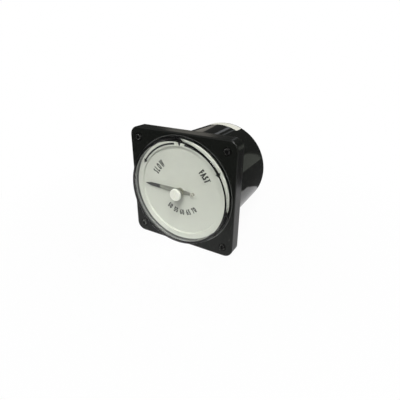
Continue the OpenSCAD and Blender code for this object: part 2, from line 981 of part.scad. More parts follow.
// Bare paper label on top of the barrel, near its rear
module barrel_label() {
    label_t = 0.17;
    glue_t = 0.02;
    rear = barrel_rear + 2.1;
    front = rear + 13.5;
    start = 66.5;
    span = 38;
    color(cream) facing() rotate(start)
        rotate_extrude(angle = span)
            polygon([
                [barrel_r(rear) + glue_t, rear], [barrel_r(rear) + label_t, rear],
                [barrel_r(front) + label_t, front], [barrel_r(front) + glue_t, front],
            ]);
}

case();
front_cover();
cover_screws();
window();
window_gasket();
center_cap();
cap_retainer();
dial_plate();
dial_print();
dial_studs();
dial_stud_nuts();
pointer_arm();
pointer_blade();
pointer_weight();
pointer_hub();
pointer_staff();
rotor_sleeve();
front_vane();
rear_vane();
movement_plate();
plate_screws();
bridge_posts();
front_bridge();
bridge_screws();
front_bearing();
stator_bolts();
stator_spacers();
front_stack();
rear_stack();
coil_former();
polarising_coil();
phase_a_winding();
phase_b_winding();
rear_bridge();
stator_nuts();
rear_jewel_screw();
jewel_lock_nut();
component_board();
series_resistors();
phase_capacitor();
internal_leads();
terminal_studs();
terminal_nuts();
terminal_washers();
inner_nuts();
mounting_studs();
barrel_label();
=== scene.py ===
"""Looks of a flush panel meter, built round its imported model.

The meter faces -Y, with +Z up its dial and +Y into the panel. Lengths are in metres.
"""

import logging
import math
from dataclasses import dataclass, fields
from enum import Enum
from functools import cache
from typing import Any, ClassVar, Sequence

import bmesh
import bpy
from bmesh.types import BMesh, BMFace, BMVert
from bpy.types import Material, Mesh, Node, NodeSocket, NodeTree, Object
from mathutils import Matrix, Vector


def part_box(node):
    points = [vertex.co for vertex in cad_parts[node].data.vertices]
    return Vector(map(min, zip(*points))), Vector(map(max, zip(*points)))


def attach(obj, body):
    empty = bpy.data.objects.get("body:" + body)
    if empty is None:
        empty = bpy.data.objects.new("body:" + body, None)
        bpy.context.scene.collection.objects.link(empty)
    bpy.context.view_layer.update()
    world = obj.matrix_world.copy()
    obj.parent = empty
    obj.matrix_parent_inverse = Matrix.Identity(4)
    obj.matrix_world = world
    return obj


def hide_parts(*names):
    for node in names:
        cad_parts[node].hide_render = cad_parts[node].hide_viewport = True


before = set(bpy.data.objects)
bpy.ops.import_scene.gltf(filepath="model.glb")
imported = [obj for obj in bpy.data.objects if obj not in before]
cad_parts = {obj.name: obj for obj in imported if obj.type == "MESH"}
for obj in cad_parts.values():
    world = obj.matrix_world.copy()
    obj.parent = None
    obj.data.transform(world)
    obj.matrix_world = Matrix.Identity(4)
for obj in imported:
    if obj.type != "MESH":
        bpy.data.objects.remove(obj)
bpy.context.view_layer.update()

MM = 0.001
TINY = 0.001 * MM
TAU = 2 * math.pi
CASE = "case"
WHITE = (1, 1, 1, 1)
LOG = logging.getLogger("panel_meter")

Profile = Sequence[tuple[float, float]]
Colour = tuple[float, float, float]
Place = tuple[float, float, float]
Range = tuple[float, float]
Stuff = dict[str, Material]


class Facing(Enum):
    """Which way the tops of a line of characters point on the dial."""

    OUTWARD = 1
    INWARD = -1


def srgb(*steps: int) -> Colour:
    """Turns a display colour into linear light.

    Args:
        *steps: Its red, green and blue, from 0 to 255.

    Returns:
        Its linear red, green and blue.
    """
    shares = (step / 255 for step in steps)
    return tuple(c / 12.92 if c <= 0.04045 else ((c + 0.055) / 1.055) ** 2.4 for c in shares)


# --- Node trees -------------------------------------------------------------------------


class Wiring:
    """A node tree while its nodes are being joined."""

    def __init__(self, tree: NodeTree) -> None:
        """Starts on a tree."""
        self.tree = tree

    def feed(self, socket: NodeSocket, value: Any) -> None:
        """Feeds a socket.

        Args:
            socket: The socket.
            value: The socket that it is linked to, or the value that it is set to.
        """
        if isinstance(value, NodeSocket):
            self.tree.links.new(value, socket)
        else:
            socket.default_value = value

    def add(self, kind: str, **inputs: Any) -> Node:
        """Adds a node.

        Args:
            kind: Blender's name for the node.
            **inputs: What feeds its sockets, with underscores for spaces in their names.

        Returns:
            The new node.
        """
        node = self.tree.nodes.new(kind)
        for key, value in inputs.items():
            self.feed(node.inputs[key.replace("_", " ")], value)
        return node

    def sum(self, operation: str, a: Any, b: Any = 0.0) -> NodeSocket:
        """Does a sum.

        Args:
            operation: Blender's name for the sum.
            a: The first number or socket.
            b: The second.

        Returns:
            The result.
        """
        node = self.add("ShaderNodeMath")
        node.operation = operation
        self.feed(node.inputs[0], a)
        self.feed(node.inputs[1], b)
        return node.outputs[0]

    def blend(self, factor: Any, a: Any, b: Any) -> NodeSocket:
        """Returns a number between two others by a factor."""
        return self.add("ShaderNodeMix", Factor=factor, A=a, B=b).outputs["Result"]

    def ramp(
        self, value: Any, start: Any = 0.0, end: Any = 1.0, low: float = 0.0, high: float = 1.0
    ) -> NodeSocket:
        """Runs from one level to another while a value runs between two others.

        Args:
            value: The value.
            start: Where the ramp starts.
            end: Where it ends.
            low: The level up to its start.
            high: The level from its end on.

        Returns:
            The level.
        """
        node = self.add(
            "ShaderNodeMapRange", Value=value, From_Min=start, From_Max=end, To_Min=low, To_Max=high
        )
        return node.outputs["Result"]

    def spread(self, value: Any, levels: Range) -> NodeSocket:
        """Returns a level between two by a mask."""
        return self.ramp(value, low=levels[0], high=levels[1])

    def noise(self, place: Any, scale: Any, detail: float = 2.0) -> NodeSocket:
        """Returns a soft noise at a place."""
        node = self.add("ShaderNodeTexNoise", Vector=place, Scale=scale, Detail=detail)
        return node.outputs["Fac"]

    def split(self, place: Any) -> Any:
        """Returns the X, Y and Z of a place."""
        return self.add("ShaderNodeSeparateXYZ", Vector=place).outputs

    def radius(self, across: Any, up: Any) -> NodeSocket:
        """Returns the distance of a place that is so far across and up."""
        squares = (self.sum("POWER", side, 2.0) for side in (across, up))
        return self.sum("SQRT", self.sum("ADD", *squares))


class Group(Wiring):
    """A node group while it is being wired up."""

    tree_kind: ClassVar[str] = "ShaderNodeTree"
    output_kind: ClassVar[str] = "NodeSocketFloat"
    input_kinds: ClassVar[dict[type, str]] = {float: "NodeSocketFloat", int: "NodeSocketInt"}

    def __init__(self, name: str, inputs: dict[str, Any], *outputs: str) -> None:
        """Starts a group.

        Args:
            name: The group's name.
            inputs: Each input's default value, or its kind of socket where it has none.
            *outputs: The outputs' names.
        """
        super().__init__(bpy.data.node_groups.new(name, self.tree_kind))
        for key, value in inputs.items():
            kind = self.input_kinds.get(type(value), value)
            socket = self.tree.interface.new_socket(key, in_out="INPUT", socket_type=kind)
            if kind is not value:
                socket.default_value = value
        for key in outputs:
            self.tree.interface.new_socket(key, in_out="OUTPUT", socket_type=self.output_kind)
        self.ins = self.tree.nodes.new("NodeGroupInput").outputs
        self.outs = self.tree.nodes.new("NodeGroupOutput").inputs

    def end(self, **results: NodeSocket) -> NodeTree:
        """Ends the group.

        Args:
            **results: What each output puts out.

        Returns:
            The group's tree.
        """
        for key, result in results.items():
            self.feed(self.outs[key], result)
        return self.tree


class Effects:
    """Shader groups that finishes share; they put out masks and heights only."""

    place: ClassVar[dict[str, str]] = {"Vector": "NodeSocketVector"}
    broad_detail: ClassVar[float] = 4.0
    scratch_detail: ClassVar[float] = 3.0
    patch_detail: ClassVar[float] = 5.0
    scratch_turn: ClassVar[Place] = (0.4, 0.3, 0.9)
    scratch_stretch: ClassVar[Place] = (14.0, 1.0, 1.3)
    scratch_levels: ClassVar[Range] = (0.66, 0.74)
    patch_levels: ClassVar[Range] = (0.45, 0.75)
    edge_noise: ClassVar[float] = 240.0
    rim_noise: ClassVar[float] = 420.0
    rim_noise_floor: ClassVar[float] = 0.38
    rim_noise_gain: ClassVar[float] = 4.0

    @staticmethod
    @cache
    def grain() -> NodeTree:
        """Makes the effect of a fine grain and a slower unevenness.

        Returns:
            The group.
        """
        scales = {"Fine Scale": 3000.0, "Broad Scale": 90.0, "Broad Share": 0.4}
        group = Group("Grain", {**Effects.place, **scales}, "Height", "Unevenness")
        ins = group.ins
        fine = group.noise(ins["Vector"], ins["Fine Scale"])
        broad = group.noise(ins["Vector"], ins["Broad Scale"], Effects.broad_detail)
        return group.end(Height=group.blend(ins["Broad Share"], fine, broad), Unevenness=broad)

    @staticmethod
    @cache
    def scuffs() -> NodeTree:
        """Makes the effect of sparse fine scratches and rubbed patches.

        Returns:
            The group.
        """
        scales = {"Scratch Scale": 60.0, "Patch Scale": 25.0}
        group = Group("Scuffs", {**Effects.place, **scales}, "Scratches", "Patches")
        ins = group.ins
        stretched = group.add(
            "ShaderNodeMapping", Vector=ins["Vector"], Rotation=Effects.scratch_turn,
            Scale=Effects.scratch_stretch,
        )
        lines = group.noise(
            stretched.outputs["Vector"], ins["Scratch Scale"], Effects.scratch_detail
        )
        patches = group.noise(ins["Vector"], ins["Patch Scale"], Effects.patch_detail)
        return group.end(
            Scratches=group.ramp(lines, *Effects.scratch_levels),
            Patches=group.ramp(patches, *Effects.patch_levels),
        )

    @staticmethod
    @cache
    def turns() -> NodeTree:
        """Makes the effect of rounded turns or sheets at an even pitch.

        Returns:
            The group.
        """
        group = Group("Turns", {"Distance": 0.0, "Pitch": 0.5 * MM}, "Height")
        count = group.sum("DIVIDE", group.ins["Distance"], group.ins["Pitch"])
        wave = group.sum("SINE", group.sum("MULTIPLY", count, math.pi))
        return group.end(Height=group.sum("ABSOLUTE", wave))

    @staticmethod
    @cache
    def edge_wear() -> NodeTree:
        """Makes masks of wear and a painted highlight on a square plate's front edges, and of a
        painted highlight round its opening.

        Returns:
            The group.
        """
        sizes = {"Half Side": 55.5 * MM, "Front": -12.7 * MM, "Opening": 53.0 * MM}
        bands = {"Band": 0.9 * MM, "Lip Band": 0.5 * MM}
        group = Group("Edge Wear", {**Effects.place, **sizes, **bands}, "Edges", "Lip")
        ins, place = group.ins, group.split(group.ins["Vector"])
        side = group.sum("MAXIMUM", *(group.sum("ABSOLUTE", place[axis]) for axis in "XZ"))
        inward = group.sum("SUBTRACT", ins["Half Side"], side)
        behind = group.sum("SUBTRACT", place["Y"], ins["Front"])
        near = group.ramp(group.sum("ADD", inward, behind), ins["Band"], 0.0)
        patchy = group.noise(ins["Vector"], Effects.edge_noise)
        reach = group.radius(place["X"], place["Z"])
        off = group.sum("ABSOLUTE", group.sum("SUBTRACT", reach, ins["Opening"]))
        # Edges is wear with a painted highlight along the front edges; Lip is a painted highlight
        # round the opening.
        return group.end(
            Edges=group.sum("MULTIPLY", near, patchy), Lip=group.ramp(off, ins["Lip Band"], 0.0)
        )

    @staticmethod
    @cache
    def rim_wear() -> NodeTree:
        """Makes the mask of wear and a painted highlight round the rims of four screws at a
        square's corners.

        Returns:
            The group.
        """
        sizes = {"Offset": 46.0 * MM, "Inner": 1.7 * MM, "Outer": 2.4 * MM}
        group = Group("Rim Wear", {**Effects.place, **sizes}, "Mask")
        ins, place = group.ins, group.split(group.ins["Vector"])
        sides = (group.sum("ABSOLUTE", place[axis]) for axis in "XZ")
        reach = group.radius(*(group.sum("SUBTRACT", side, ins["Offset"]) for side in sides))
        patchy = group.noise(ins["Vector"], Effects.rim_noise)
        patchy = group.sum("SUBTRACT", patchy, Effects.rim_noise_floor)
        patchy = group.sum("MULTIPLY", patchy, Effects.rim_noise_gain)
        grown = group.ramp(reach, ins["Inner"], ins["Outer"])
        # The mask paints a highlight, with wear, round each screw head's rim.
        return group.end(Mask=group.ramp(group.sum("MULTIPLY", grown, patchy)))


# --- Finishes ---------------------------------------------------------------------------


class Shader(Wiring):
    """A Principled material while it is being wired up."""

    def __init__(self, name: str) -> None:
        """Starts a material with its Principled node and Object coordinates.

        Args:
            name: The material's name.
        """
        self.material = bpy.data.materials.new(name)
        self.material.use_nodes = True
        super().__init__(self.material.node_tree)
        self.surface = self.tree.nodes["Principled BSDF"]
        self.output = self.tree.nodes["Material Output"].inputs["Surface"]
        self.coordinates = self.add("ShaderNodeTexCoord").outputs["Object"]

    def set(self, **values: Any) -> None:
        """Feeds sockets of the Principled node, with underscores for spaces in their names."""
        for key, value in values.items():
            self.feed(self.surface.inputs[key.replace("_", " ")], value)

    def group(self, tree: NodeTree, **inputs: Any) -> Any:
        """Adds a shared group that reads the Object coordinates.

        Args:
            tree: The group.
            **inputs: What feeds its sockets, with underscores for spaces in their names.

        Returns:
            The group's outputs.
        """
        node = self.add("ShaderNodeGroup")
        node.node_tree = tree
        if "Vector" in node.inputs:
            self.feed(node.inputs["Vector"], self.coordinates)
        for key, value in inputs.items():
            self.feed(node.inputs[key.replace("_", " ")], value)
        return node.outputs

    def mix(self, factor: Any, a: Any, b: Any) -> NodeSocket:
        """Mixes two colours.

        Args:
            factor: How much of the second shows.
            a: The first colour or its socket.
            b: The second.

        Returns:
            The mixed colour.
        """
        node = self.add("ShaderNodeMix")
        node.data_type = "RGBA"
        self.feed(node.inputs["Factor"], factor)
        for name, value in (("A", a), ("B", b)):
            socket = next(s for s in node.inputs if s.name == name and s.type == "RGBA")
            self.feed(socket, value if isinstance(value, NodeSocket) else (*value, 1))
        return next(s for s in node.outputs if s.type == "RGBA")

    def bump(self, height: Any, depth: float) -> None:
        """Gives the surface a relief of a depth in metres."""
        node = self.add("ShaderNodeBump", Height=height, Distance=depth, Strength=1.0)
        self.set(Normal=node.outputs["Normal"])

    def show(self, share: Any, other: NodeSocket) -> None:
        """Shows another shader in the place of the Principled one.

        Args:
            share: How much of the other shows.
            other: The other shader.
        """
        both = self.add("ShaderNodeMixShader", Fac=share)
        self.feed(both.inputs[1], self.surface.outputs["BSDF"])
        self.feed(both.inputs[2], other)
        self.feed(self.output, both.outputs["Shader"])


@dataclass(frozen=True)
class Finish:
    """A surface between two colours, with uneven gloss and a fine grain.

    Attributes:
        name: The material's name.
        colour: Its main colour.
        second: The colour that it drifts towards.
        roughness: Its lowest and highest roughness.
        metallic: How metallic it is, below 1 where it is painted or oiled.
        grain: Depth of its grain, in metres.
        reflection: The Principled node's specular level.
        scales: How fine its grain and its unevenness are.
    """

    name: str
    colour: Colour
    second: Colour = (0.0, 0.0, 0.0)
    roughness: Range = (0.25, 0.4)
    metallic: float = 0.0
    grain: float = 0.004 * MM
    reflection: float = 0.5
    scales: Range = (2600.0, 90.0)

    def _mask(self, shader: Shader, grain: Any) -> NodeSocket:
        """Returns where the second colour shows."""
        return grain["Unevenness"]

    def _wire(self, shader: Shader, grain: Any) -> None:
        """Wires up the colour, roughness and relief.

        Args:
            shader: The material.
            grain: The outputs of its grain.
        """
        shader.set(
            Base_Color=shader.mix(self._mask(shader, grain), self.colour, self.second),
            Roughness=shader.spread(grain["Unevenness"], self.roughness),
        )
        shader.bump(grain["Height"], self.grain)

    def material(self) -> Material:
        """Makes the finish.

        Returns:
            The new material.
        """
        shader = Shader(self.name)
        fine, broad = self.scales
        grain = shader.group(Effects.grain(), Fine_Scale=fine, Broad_Scale=broad)
        shader.set(Metallic=self.metallic, Specular_IOR_Level=self.reflection)
        self._wire(shader, grain)
        return shader.material


@dataclass(frozen=True)
class Enamel(Finish):
    """Matt paint, print or paper with a faint mottle of the second colour."""

    roughness: Range = (0.5, 0.65)
    grain: float = 0.003 * MM
    reflection: float = 0.4
    scales: Range = (3500.0, 45.0)


@dataclass(frozen=True)
class Metal(Finish):
    """Plated or bare metal with working marks, and dull patches of the second colour."""

    roughness: Range = (0.22, 0.45)
    metallic: float = 1.0
    scales: Range = (1800.0, 160.0)
    patch_scale: ClassVar[float] = 70.0

    def _mask(self, shader: Shader, grain: Any) -> NodeSocket:
        """Returns the dull patches."""
        return shader.group(Effects.scuffs(), Patch_Scale=self.patch_scale)["Patches"]


@dataclass(frozen=True)
class BlackScrews(Metal):
    """Blackened screws at four corners, rubbed and painted with a highlight in the second colour
    round their heads' rims.

    Attributes:
        offset: How far each screw stands from the middle, both across and up.
        rim: Radii between which the wear and painted highlight grow.
    """

    roughness: Range = (0.28, 0.42)
    metallic: float = 0.6
    offset: float = 46.0 * MM
    rim: Range = (1.7 * MM, 2.4 * MM)

    def _mask(self, shader: Shader, grain: Any) -> NodeSocket:
        """Returns the rims' wear and painted highlight."""
        sizes = {"Offset": self.offset, "Inner": self.rim[0], "Outer": self.rim[1]}
        return shader.group(Effects.rim_wear(), **sizes)["Mask"]


@dataclass(frozen=True)
class Moulding(Finish):
    """Moulded plastic that sparse scuffs, worn edges with a painted highlight, and a painted
    highlight round its opening turn paler.

    Attributes:
        scuff: How far scuffs lighten it, from 0 to 1.
        polish: Its roughness behind the panel, where the mould was polished.
        edge: How far wear and a painted highlight along the front edges lighten it, from 0 to 1.
        lip: How far a painted highlight round the front opening lightens it, from 0 to 1.
    """

    scuff: float = 0.1
    polish: Range | None = None
    edge: float = 0.0
    lip: float = 0.0
    palest: ClassVar[float] = 0.35
    lip_roughness: ClassVar[float] = 0.75
    polish_start: ClassVar[float] = 0.2 * MM

    def _paler(self, share: float) -> Colour:
        """Returns its colour, made paler by a share."""
        return tuple(c + (self.palest - c) * share for c in self.colour)

    def _wire(self, shader: Shader, grain: Any) -> None:
        """Wires up the colour, roughness and relief.

        Args:
            shader: The material.
            grain: The outputs of its grain.
        """
        scuffs = shader.group(Effects.scuffs())
        worn = shader.sum("MULTIPLY", scuffs["Scratches"], scuffs["Patches"])
        colour = shader.mix(worn, self.colour, self._paler(self.scuff))
        roughness = shader.spread(grain["Unevenness"], self.roughness)
        # The front edges get wear and a painted highlight, and the opening's lip gets a painted
        # highlight that is also rougher.
        if self.edge:
            low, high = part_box("front_cover")
            wear_and_highlight = shader.group(Effects.edge_wear(), Half_Side=high.x, Front=low.y)
            colour = shader.mix(wear_and_highlight["Edges"], colour, self._paler(self.edge))
            colour = shader.mix(wear_and_highlight["Lip"], colour, self._paler(self.lip))
            roughness = shader.blend(wear_and_highlight["Lip"], roughness, self.lip_roughness)
        if self.polish:
            depth = shader.split(shader.coordinates)["Y"]
            behind = shader.sum("GREATER_THAN", depth, self.polish_start)
            smooth = shader.spread(grain["Unevenness"], self.polish)
            roughness = shader.blend(behind, roughness, smooth)
        shader.set(Base_Color=colour, Roughness=roughness)
        shader.bump(grain["Height"], self.grain)


@dataclass(frozen=True)
class Winding(Finish):
    """Wire turns counted outwards from the axis, with painted shade of the second colour in the
    grooves between them.

    Attributes:
        pitch: The turns' pitch, in metres.
    """

    metallic: float = 0.7
    scales: Range = (1500.0, 120.0)
    pitch: float = 0.45 * MM

    def _wire(self, shader: Shader, grain: Any) -> None:
        """Wires up the colour, roughness and relief.

        Args:
            shader: The material.
            grain: The outputs of its grain.
        """
        place = shader.split(shader.coordinates)
        reach = shader.radius(place["X"], place["Z"])
        height = shader.group(Effects.turns(), Distance=reach, Pitch=self.pitch)["Height"]
        # The second colour is painted shade in the grooves between the turns.
        shader.set(
            Base_Color=shader.mix(height, self.second, self.colour),
            Roughness=shader.spread(grain["Unevenness"], self.roughness),
        )
        shader.bump(height, self.pitch / 3)


@dataclass(frozen=True)
class ClearPlastic:
    """Clear polished plastic that lets lamps through to what is behind it.

    Attributes:
        name: The material's name.
        tint: The colour it gives to what is behind it.
        ior: Its index of refraction.
        roughness: Its roughness where it is clean and where it is scratched.
        scratch_scale: How fine its scratches are.
    """

    name: str
    tint: Colour = (0.985, 0.99, 0.98)
    ior: float = 1.49
    roughness: Range = (0.0, 0.04)
    scratch_scale: float = 90.0

    def material(self) -> Material:
        """Makes the finish.

        Returns:
            The new material.
        """
        shader = Shader(self.name)
        scuffs = shader.group(Effects.scuffs(), Scratch_Scale=self.scratch_scale)
        shader.set(
            Base_Color=(*self.tint, 1),
            Roughness=shader.spread(scuffs["Scratches"], self.roughness),
            IOR=self.ior,
            Transmission_Weight=1.0,
        )
        clear = shader.add("ShaderNodeBsdfTransparent", Color=(*self.tint, 1))
        path = shader.add("ShaderNodeLightPath")
        shader.show(path.outputs["Is Shadow Ray"], clear.outputs["BSDF"])
        return shader.material


# --- Meshes -----------------------------------------------------------------------------


def from_front(radius: float, angle: float, depth: float) -> Vector:
    """Returns a point by its radius, its angle as the reader sees it, and its depth."""
    return Vector((radius * math.cos(angle), depth, radius * math.sin(angle)))


def rounded(points: Profile, radii: Sequence[float], steps: int = 6) -> list[tuple[float, float]]:
    """Rounds the corners of a closed profile.

    Args:
        points: The profile's corners.
        radii: The radius at each corner, 0 where it stays sharp.
        steps: How many pieces each round has.

    Returns:
        The profile's points.
    """
    made: list[tuple[float, float]] = []
    for i, (corner, radius) in enumerate(zip(points, radii)):
        if not radius:
            made.append(corner)
            continue
        here = Vector(corner)
        before = (Vector(points[i - 1]) - here).normalized()
        after = (Vector(points[(i + 1) % len(points)]) - here).normalized()
        half = before.angle(after) / 2
        centre = here + (before + after).normalized() * (radius / math.sin(half))
        arm = here + before * (radius / math.tan(half)) - centre
        sweep = arm.angle_signed(here + after * (radius / math.tan(half)) - centre)
        for k in range(steps + 1):
            c, s = math.cos(-sweep * k / steps), math.sin(-sweep * k / steps)
            made.append((centre.x + arm.x * c - arm.y * s, centre.y + arm.x * s + arm.y * c))
    return made


def raise_faces(shape: BMesh, faces: list[BMFace], by: float) -> None:
    """Gives flat faces a thickness along Y.

    Args:
        shape: The mesh that they are in.
        faces: The faces.
        by: How far their copies stand from them.
    """
    raised = bmesh.ops.extrude_face_region(shape, geom=faces)
    moved = [part for part in raised["geom"] if isinstance(part, BMVert)]
    bmesh.ops.translate(shape, verts=moved, vec=(0, by, 0))


def place_object(name: str, data: Any) -> Object:
    """Adds an object to the scene.

    Args:
        name: The object's name.
        data: The mesh, curve, lamp or camera that it shows.

    Returns:
        The object.
    """
    holder = bpy.data.objects.new(name, data)
    bpy.context.scene.collection.objects.link(holder)
    return holder


def plain_mesh(holder: Object) -> Mesh:
    """Turns an object into a plain mesh, and removes it.

    Args:
        holder: The object.

    Returns:
        The mesh that it showed.
    """
    evaluated = holder.evaluated_get(bpy.context.evaluated_depsgraph_get())
    mesh = bpy.data.meshes.new_from_object(evaluated)
    bpy.data.objects.remove(holder)
    return mesh


class Piece:
    """Makes finished objects at the origin."""

    smooth_angle: ClassVar[float] = math.radians(35)

    @staticmethod
    def from_mesh(name: str, mesh: Mesh, material: Material) -> Object:
        """Makes an object of a mesh in one material.

        Args:
            name: The piece's name.
            mesh: Its mesh.
            material: Its finish.

        Returns:
            The object.
        """
        mesh.materials.clear()
        mesh.materials.append(material)
        return place_object(name, mesh)

    @staticmethod
    def from_bmesh(name: str, shape: BMesh, material: Material) -> Object:
        """Makes an object of a bmesh.

        Args:
            name: The piece's name.
            shape: Its mesh, which is freed.
            material: Its finish.

        Returns:
            The object.
        """
        bmesh.ops.remove_doubles(shape, verts=shape.verts, dist=0.1 * TINY)
        bmesh.ops.recalc_face_normals(shape, faces=shape.faces)
        for face in shape.faces:
            face.smooth = True
        for edge in shape.edges:
            edge.smooth = edge.is_manifold and edge.calc_face_angle(0) < Piece.smooth_angle
        mesh = bpy.data.meshes.new(name)
        shape.to_mesh(mesh)
        shape.free()
        return Piece.from_mesh(name, mesh, material)

    @staticmethod
    def lathe(
        name: str, profile: Profile, material: Material, segments: int, closed: bool = True
    ) -> Object:
        """Turns a profile round the Y axis.

        Args:
            name: The piece's name.
            profile: Points of radius and depth.
            material: The piece's finish.
            segments: How many steps it has round the axis.
            closed: Whether the last point joins the first; if not, both lie on the axis.

        Returns:
            The object.
        """
        shape = bmesh.new()
        rings = [
            [shape.verts.new(from_front(r, TAU * k / segments, y)) for k in range(segments)]
            for r, y in profile
        ]
        for i, ring in enumerate(rings if closed else rings[:-1]):
            other = rings[(i + 1) % len(rings)]
            for k in range(segments):
                n = (k + 1) % segments
                shape.faces.new((ring[k], ring[n], other[n], other[k]))
        return Piece.from_bmesh(name, shape, material)


# --- Geometry Nodes ---------------------------------------------------------------------


class GeometryTree(Group):
    """A Geometry Nodes tree while it is being wired up, and its use on a host mesh."""

    tree_kind = "GeometryNodeTree"
    output_kind = "NodeSocketGeometry"

    def __init__(self, name: str, inputs: dict[str, Any]) -> None:
        """Starts a tree with a geometry in and out, named inputs and a material.

        Args:
            name: The tree's name.
            inputs: Each named input's default value, or its kind of socket.
        """
        sockets = {"Geometry": "NodeSocketGeometry", **inputs, "Material": "NodeSocketMaterial"}
        super().__init__(name, sockets, "Geometry")

    def part(self, kind: str, **inputs: Any) -> NodeSocket:
        """Returns the first output of a new geometry node."""
        return self.add("GeometryNode" + kind, **inputs).outputs[0]

    def vector(self, x: Any = 0.0, y: Any = 0.0, z: Any = 0.0) -> NodeSocket:
        """Returns a vector made of three values or sockets."""
        return self.add("ShaderNodeCombineXYZ", X=x, Y=y, Z=z).outputs[0]

    def join(self, *shapes: NodeSocket) -> NodeSocket:
        """Joins shapes.

        Args:
            *shapes: The shapes.

        Returns:
            One shape of them all.
        """
        both = self.add("GeometryNodeJoinGeometry")
        for shape in shapes:
            self.feed(both.inputs["Geometry"], shape)
        return both.outputs["Geometry"]

    def finish(self, points: NodeSocket, shape: NodeSocket) -> None:
        """Stands a shape on points, makes it real and sets its material.

        Args:
            points: The points.
            shape: The shape.
        """
        placed = self.part("InstanceOnPoints", Points=points, Instance=shape)
        real = self.part("RealizeInstances", Geometry=placed)
        self.end(Geometry=self.part("SetMaterial", Geometry=real, Material=self.ins["Material"]))

    def run(self, name: str, host: Mesh, material: Material, **values: Any) -> Object:
        """Runs the tree on a host mesh.

        Args:
            name: The finished piece's name.
            host: The mesh that the tree starts from.
            material: The piece's finish.
            **values: The named inputs, with underscores for spaces.

        Returns:
            A plain mesh object.
        """
        holder = Piece.from_mesh(name + "_host", host, material)
        modifier = holder.modifiers.new("build", "NODES")
        modifier.node_group = self.tree
        values["Material"] = material
        for item in self.tree.interface.items_tree:
            key = item.name.replace(" ", "_")
            if item.in_out == "INPUT" and key in values:
                modifier[item.identifier] = values[key]
        mesh = plain_mesh(holder)
        mesh.name = name
        return Piece.from_mesh(name, mesh, material)


class Trees:
    """The Geometry Nodes trees that the meter's repeated shapes come from."""

    @staticmethod
    def helix() -> GeometryTree:
        """Makes the tree that winds a ridge round a core and stands a copy on each point.

        Returns:
            The tree.
        """
        tree = GeometryTree(
            "Helix",
            {
                "Core": "NodeSocketObject",
                "Radius": 2.0 * MM,
                "Rise": 0.35 * MM,
                "Width": 0.7 * MM,
                "Pitch": 0.8 * MM,
                "Start": 0.0,
                "Length": 15.0 * MM,
                "Sides": 4,
                "Steps": 32,
                "Run Out": 0.03,
                "Thinnest": 0.05,
            },
        )
        ins = tree.ins
        spiral = tree.part(
            "CurveSpiral", Resolution=ins["Steps"], Start_Radius=ins["Radius"],
            End_Radius=ins["Radius"], Height=ins["Length"],
            Rotations=tree.sum("DIVIDE", ins["Length"], ins["Pitch"]),
        )
        upright = tree.add("GeometryNodeSetCurveNormal", Curve=spiral)
        upright.mode = "Z_UP"
        along = tree.part("SplineParameter")
        ends = (along, tree.sum("SUBTRACT", 1.0, along))
        nearer = tree.sum("MINIMUM", *(tree.sum("DIVIDE", end, ins["Run Out"]) for end in ends))
        taper = tree.sum("MAXIMUM", tree.sum("MINIMUM", nearer, 1.0), ins["Thinnest"])
        section = tree.part(
            "Transform",
            Geometry=tree.part("CurvePrimitiveCircle", Resolution=ins["Sides"], Radius=1.0),
            Scale=tree.vector(ins["Rise"], tree.sum("MULTIPLY", ins["Width"], 0.5), 1.0),
        )
        ridge = tree.part(
            "CurveToMesh", Curve=upright.outputs["Curve"], Profile_Curve=section, Scale=taper,
            Fill_Caps=True,
        )
        laid = tree.part(
            "Transform", Geometry=ridge, Translation=tree.vector(y=ins["Start"]),
            Rotation=(-math.pi / 2, 0.0, 0.0),
        )
        core = tree.add("GeometryNodeObjectInfo", Object=ins["Core"])
        tree.finish(ins["Geometry"], tree.join(laid, core.outputs["Geometry"]))
        return tree

    @staticmethod
    def sheets() -> GeometryTree:
        """Makes the tree that stacks a flat outline into separate sheets along Y.

        Returns:
            The tree.
        """
        tree = GeometryTree(
            "Sheets", {"Count": 22, "Pitch": 0.5 * MM, "Thickness": 0.44 * MM, "Merge": TINY}
        )
        ins = tree.ins
        raised = tree.part(
            "ExtrudeMesh", Mesh=ins["Geometry"], Offset=tree.vector(y=ins["Thickness"]),
            Offset_Scale=1.0, Individual=False,
        )
        both = tree.join(raised, tree.part("FlipFaces", Mesh=ins["Geometry"]))
        sheet = tree.part("MergeByDistance", Geometry=both, Distance=ins["Merge"])
        row = tree.part("MeshLine", Count=ins["Count"], Offset=tree.vector(y=ins["Pitch"]))
        tree.finish(row, sheet)
        return tree


# --- The meter --------------------------------------------------------------------------


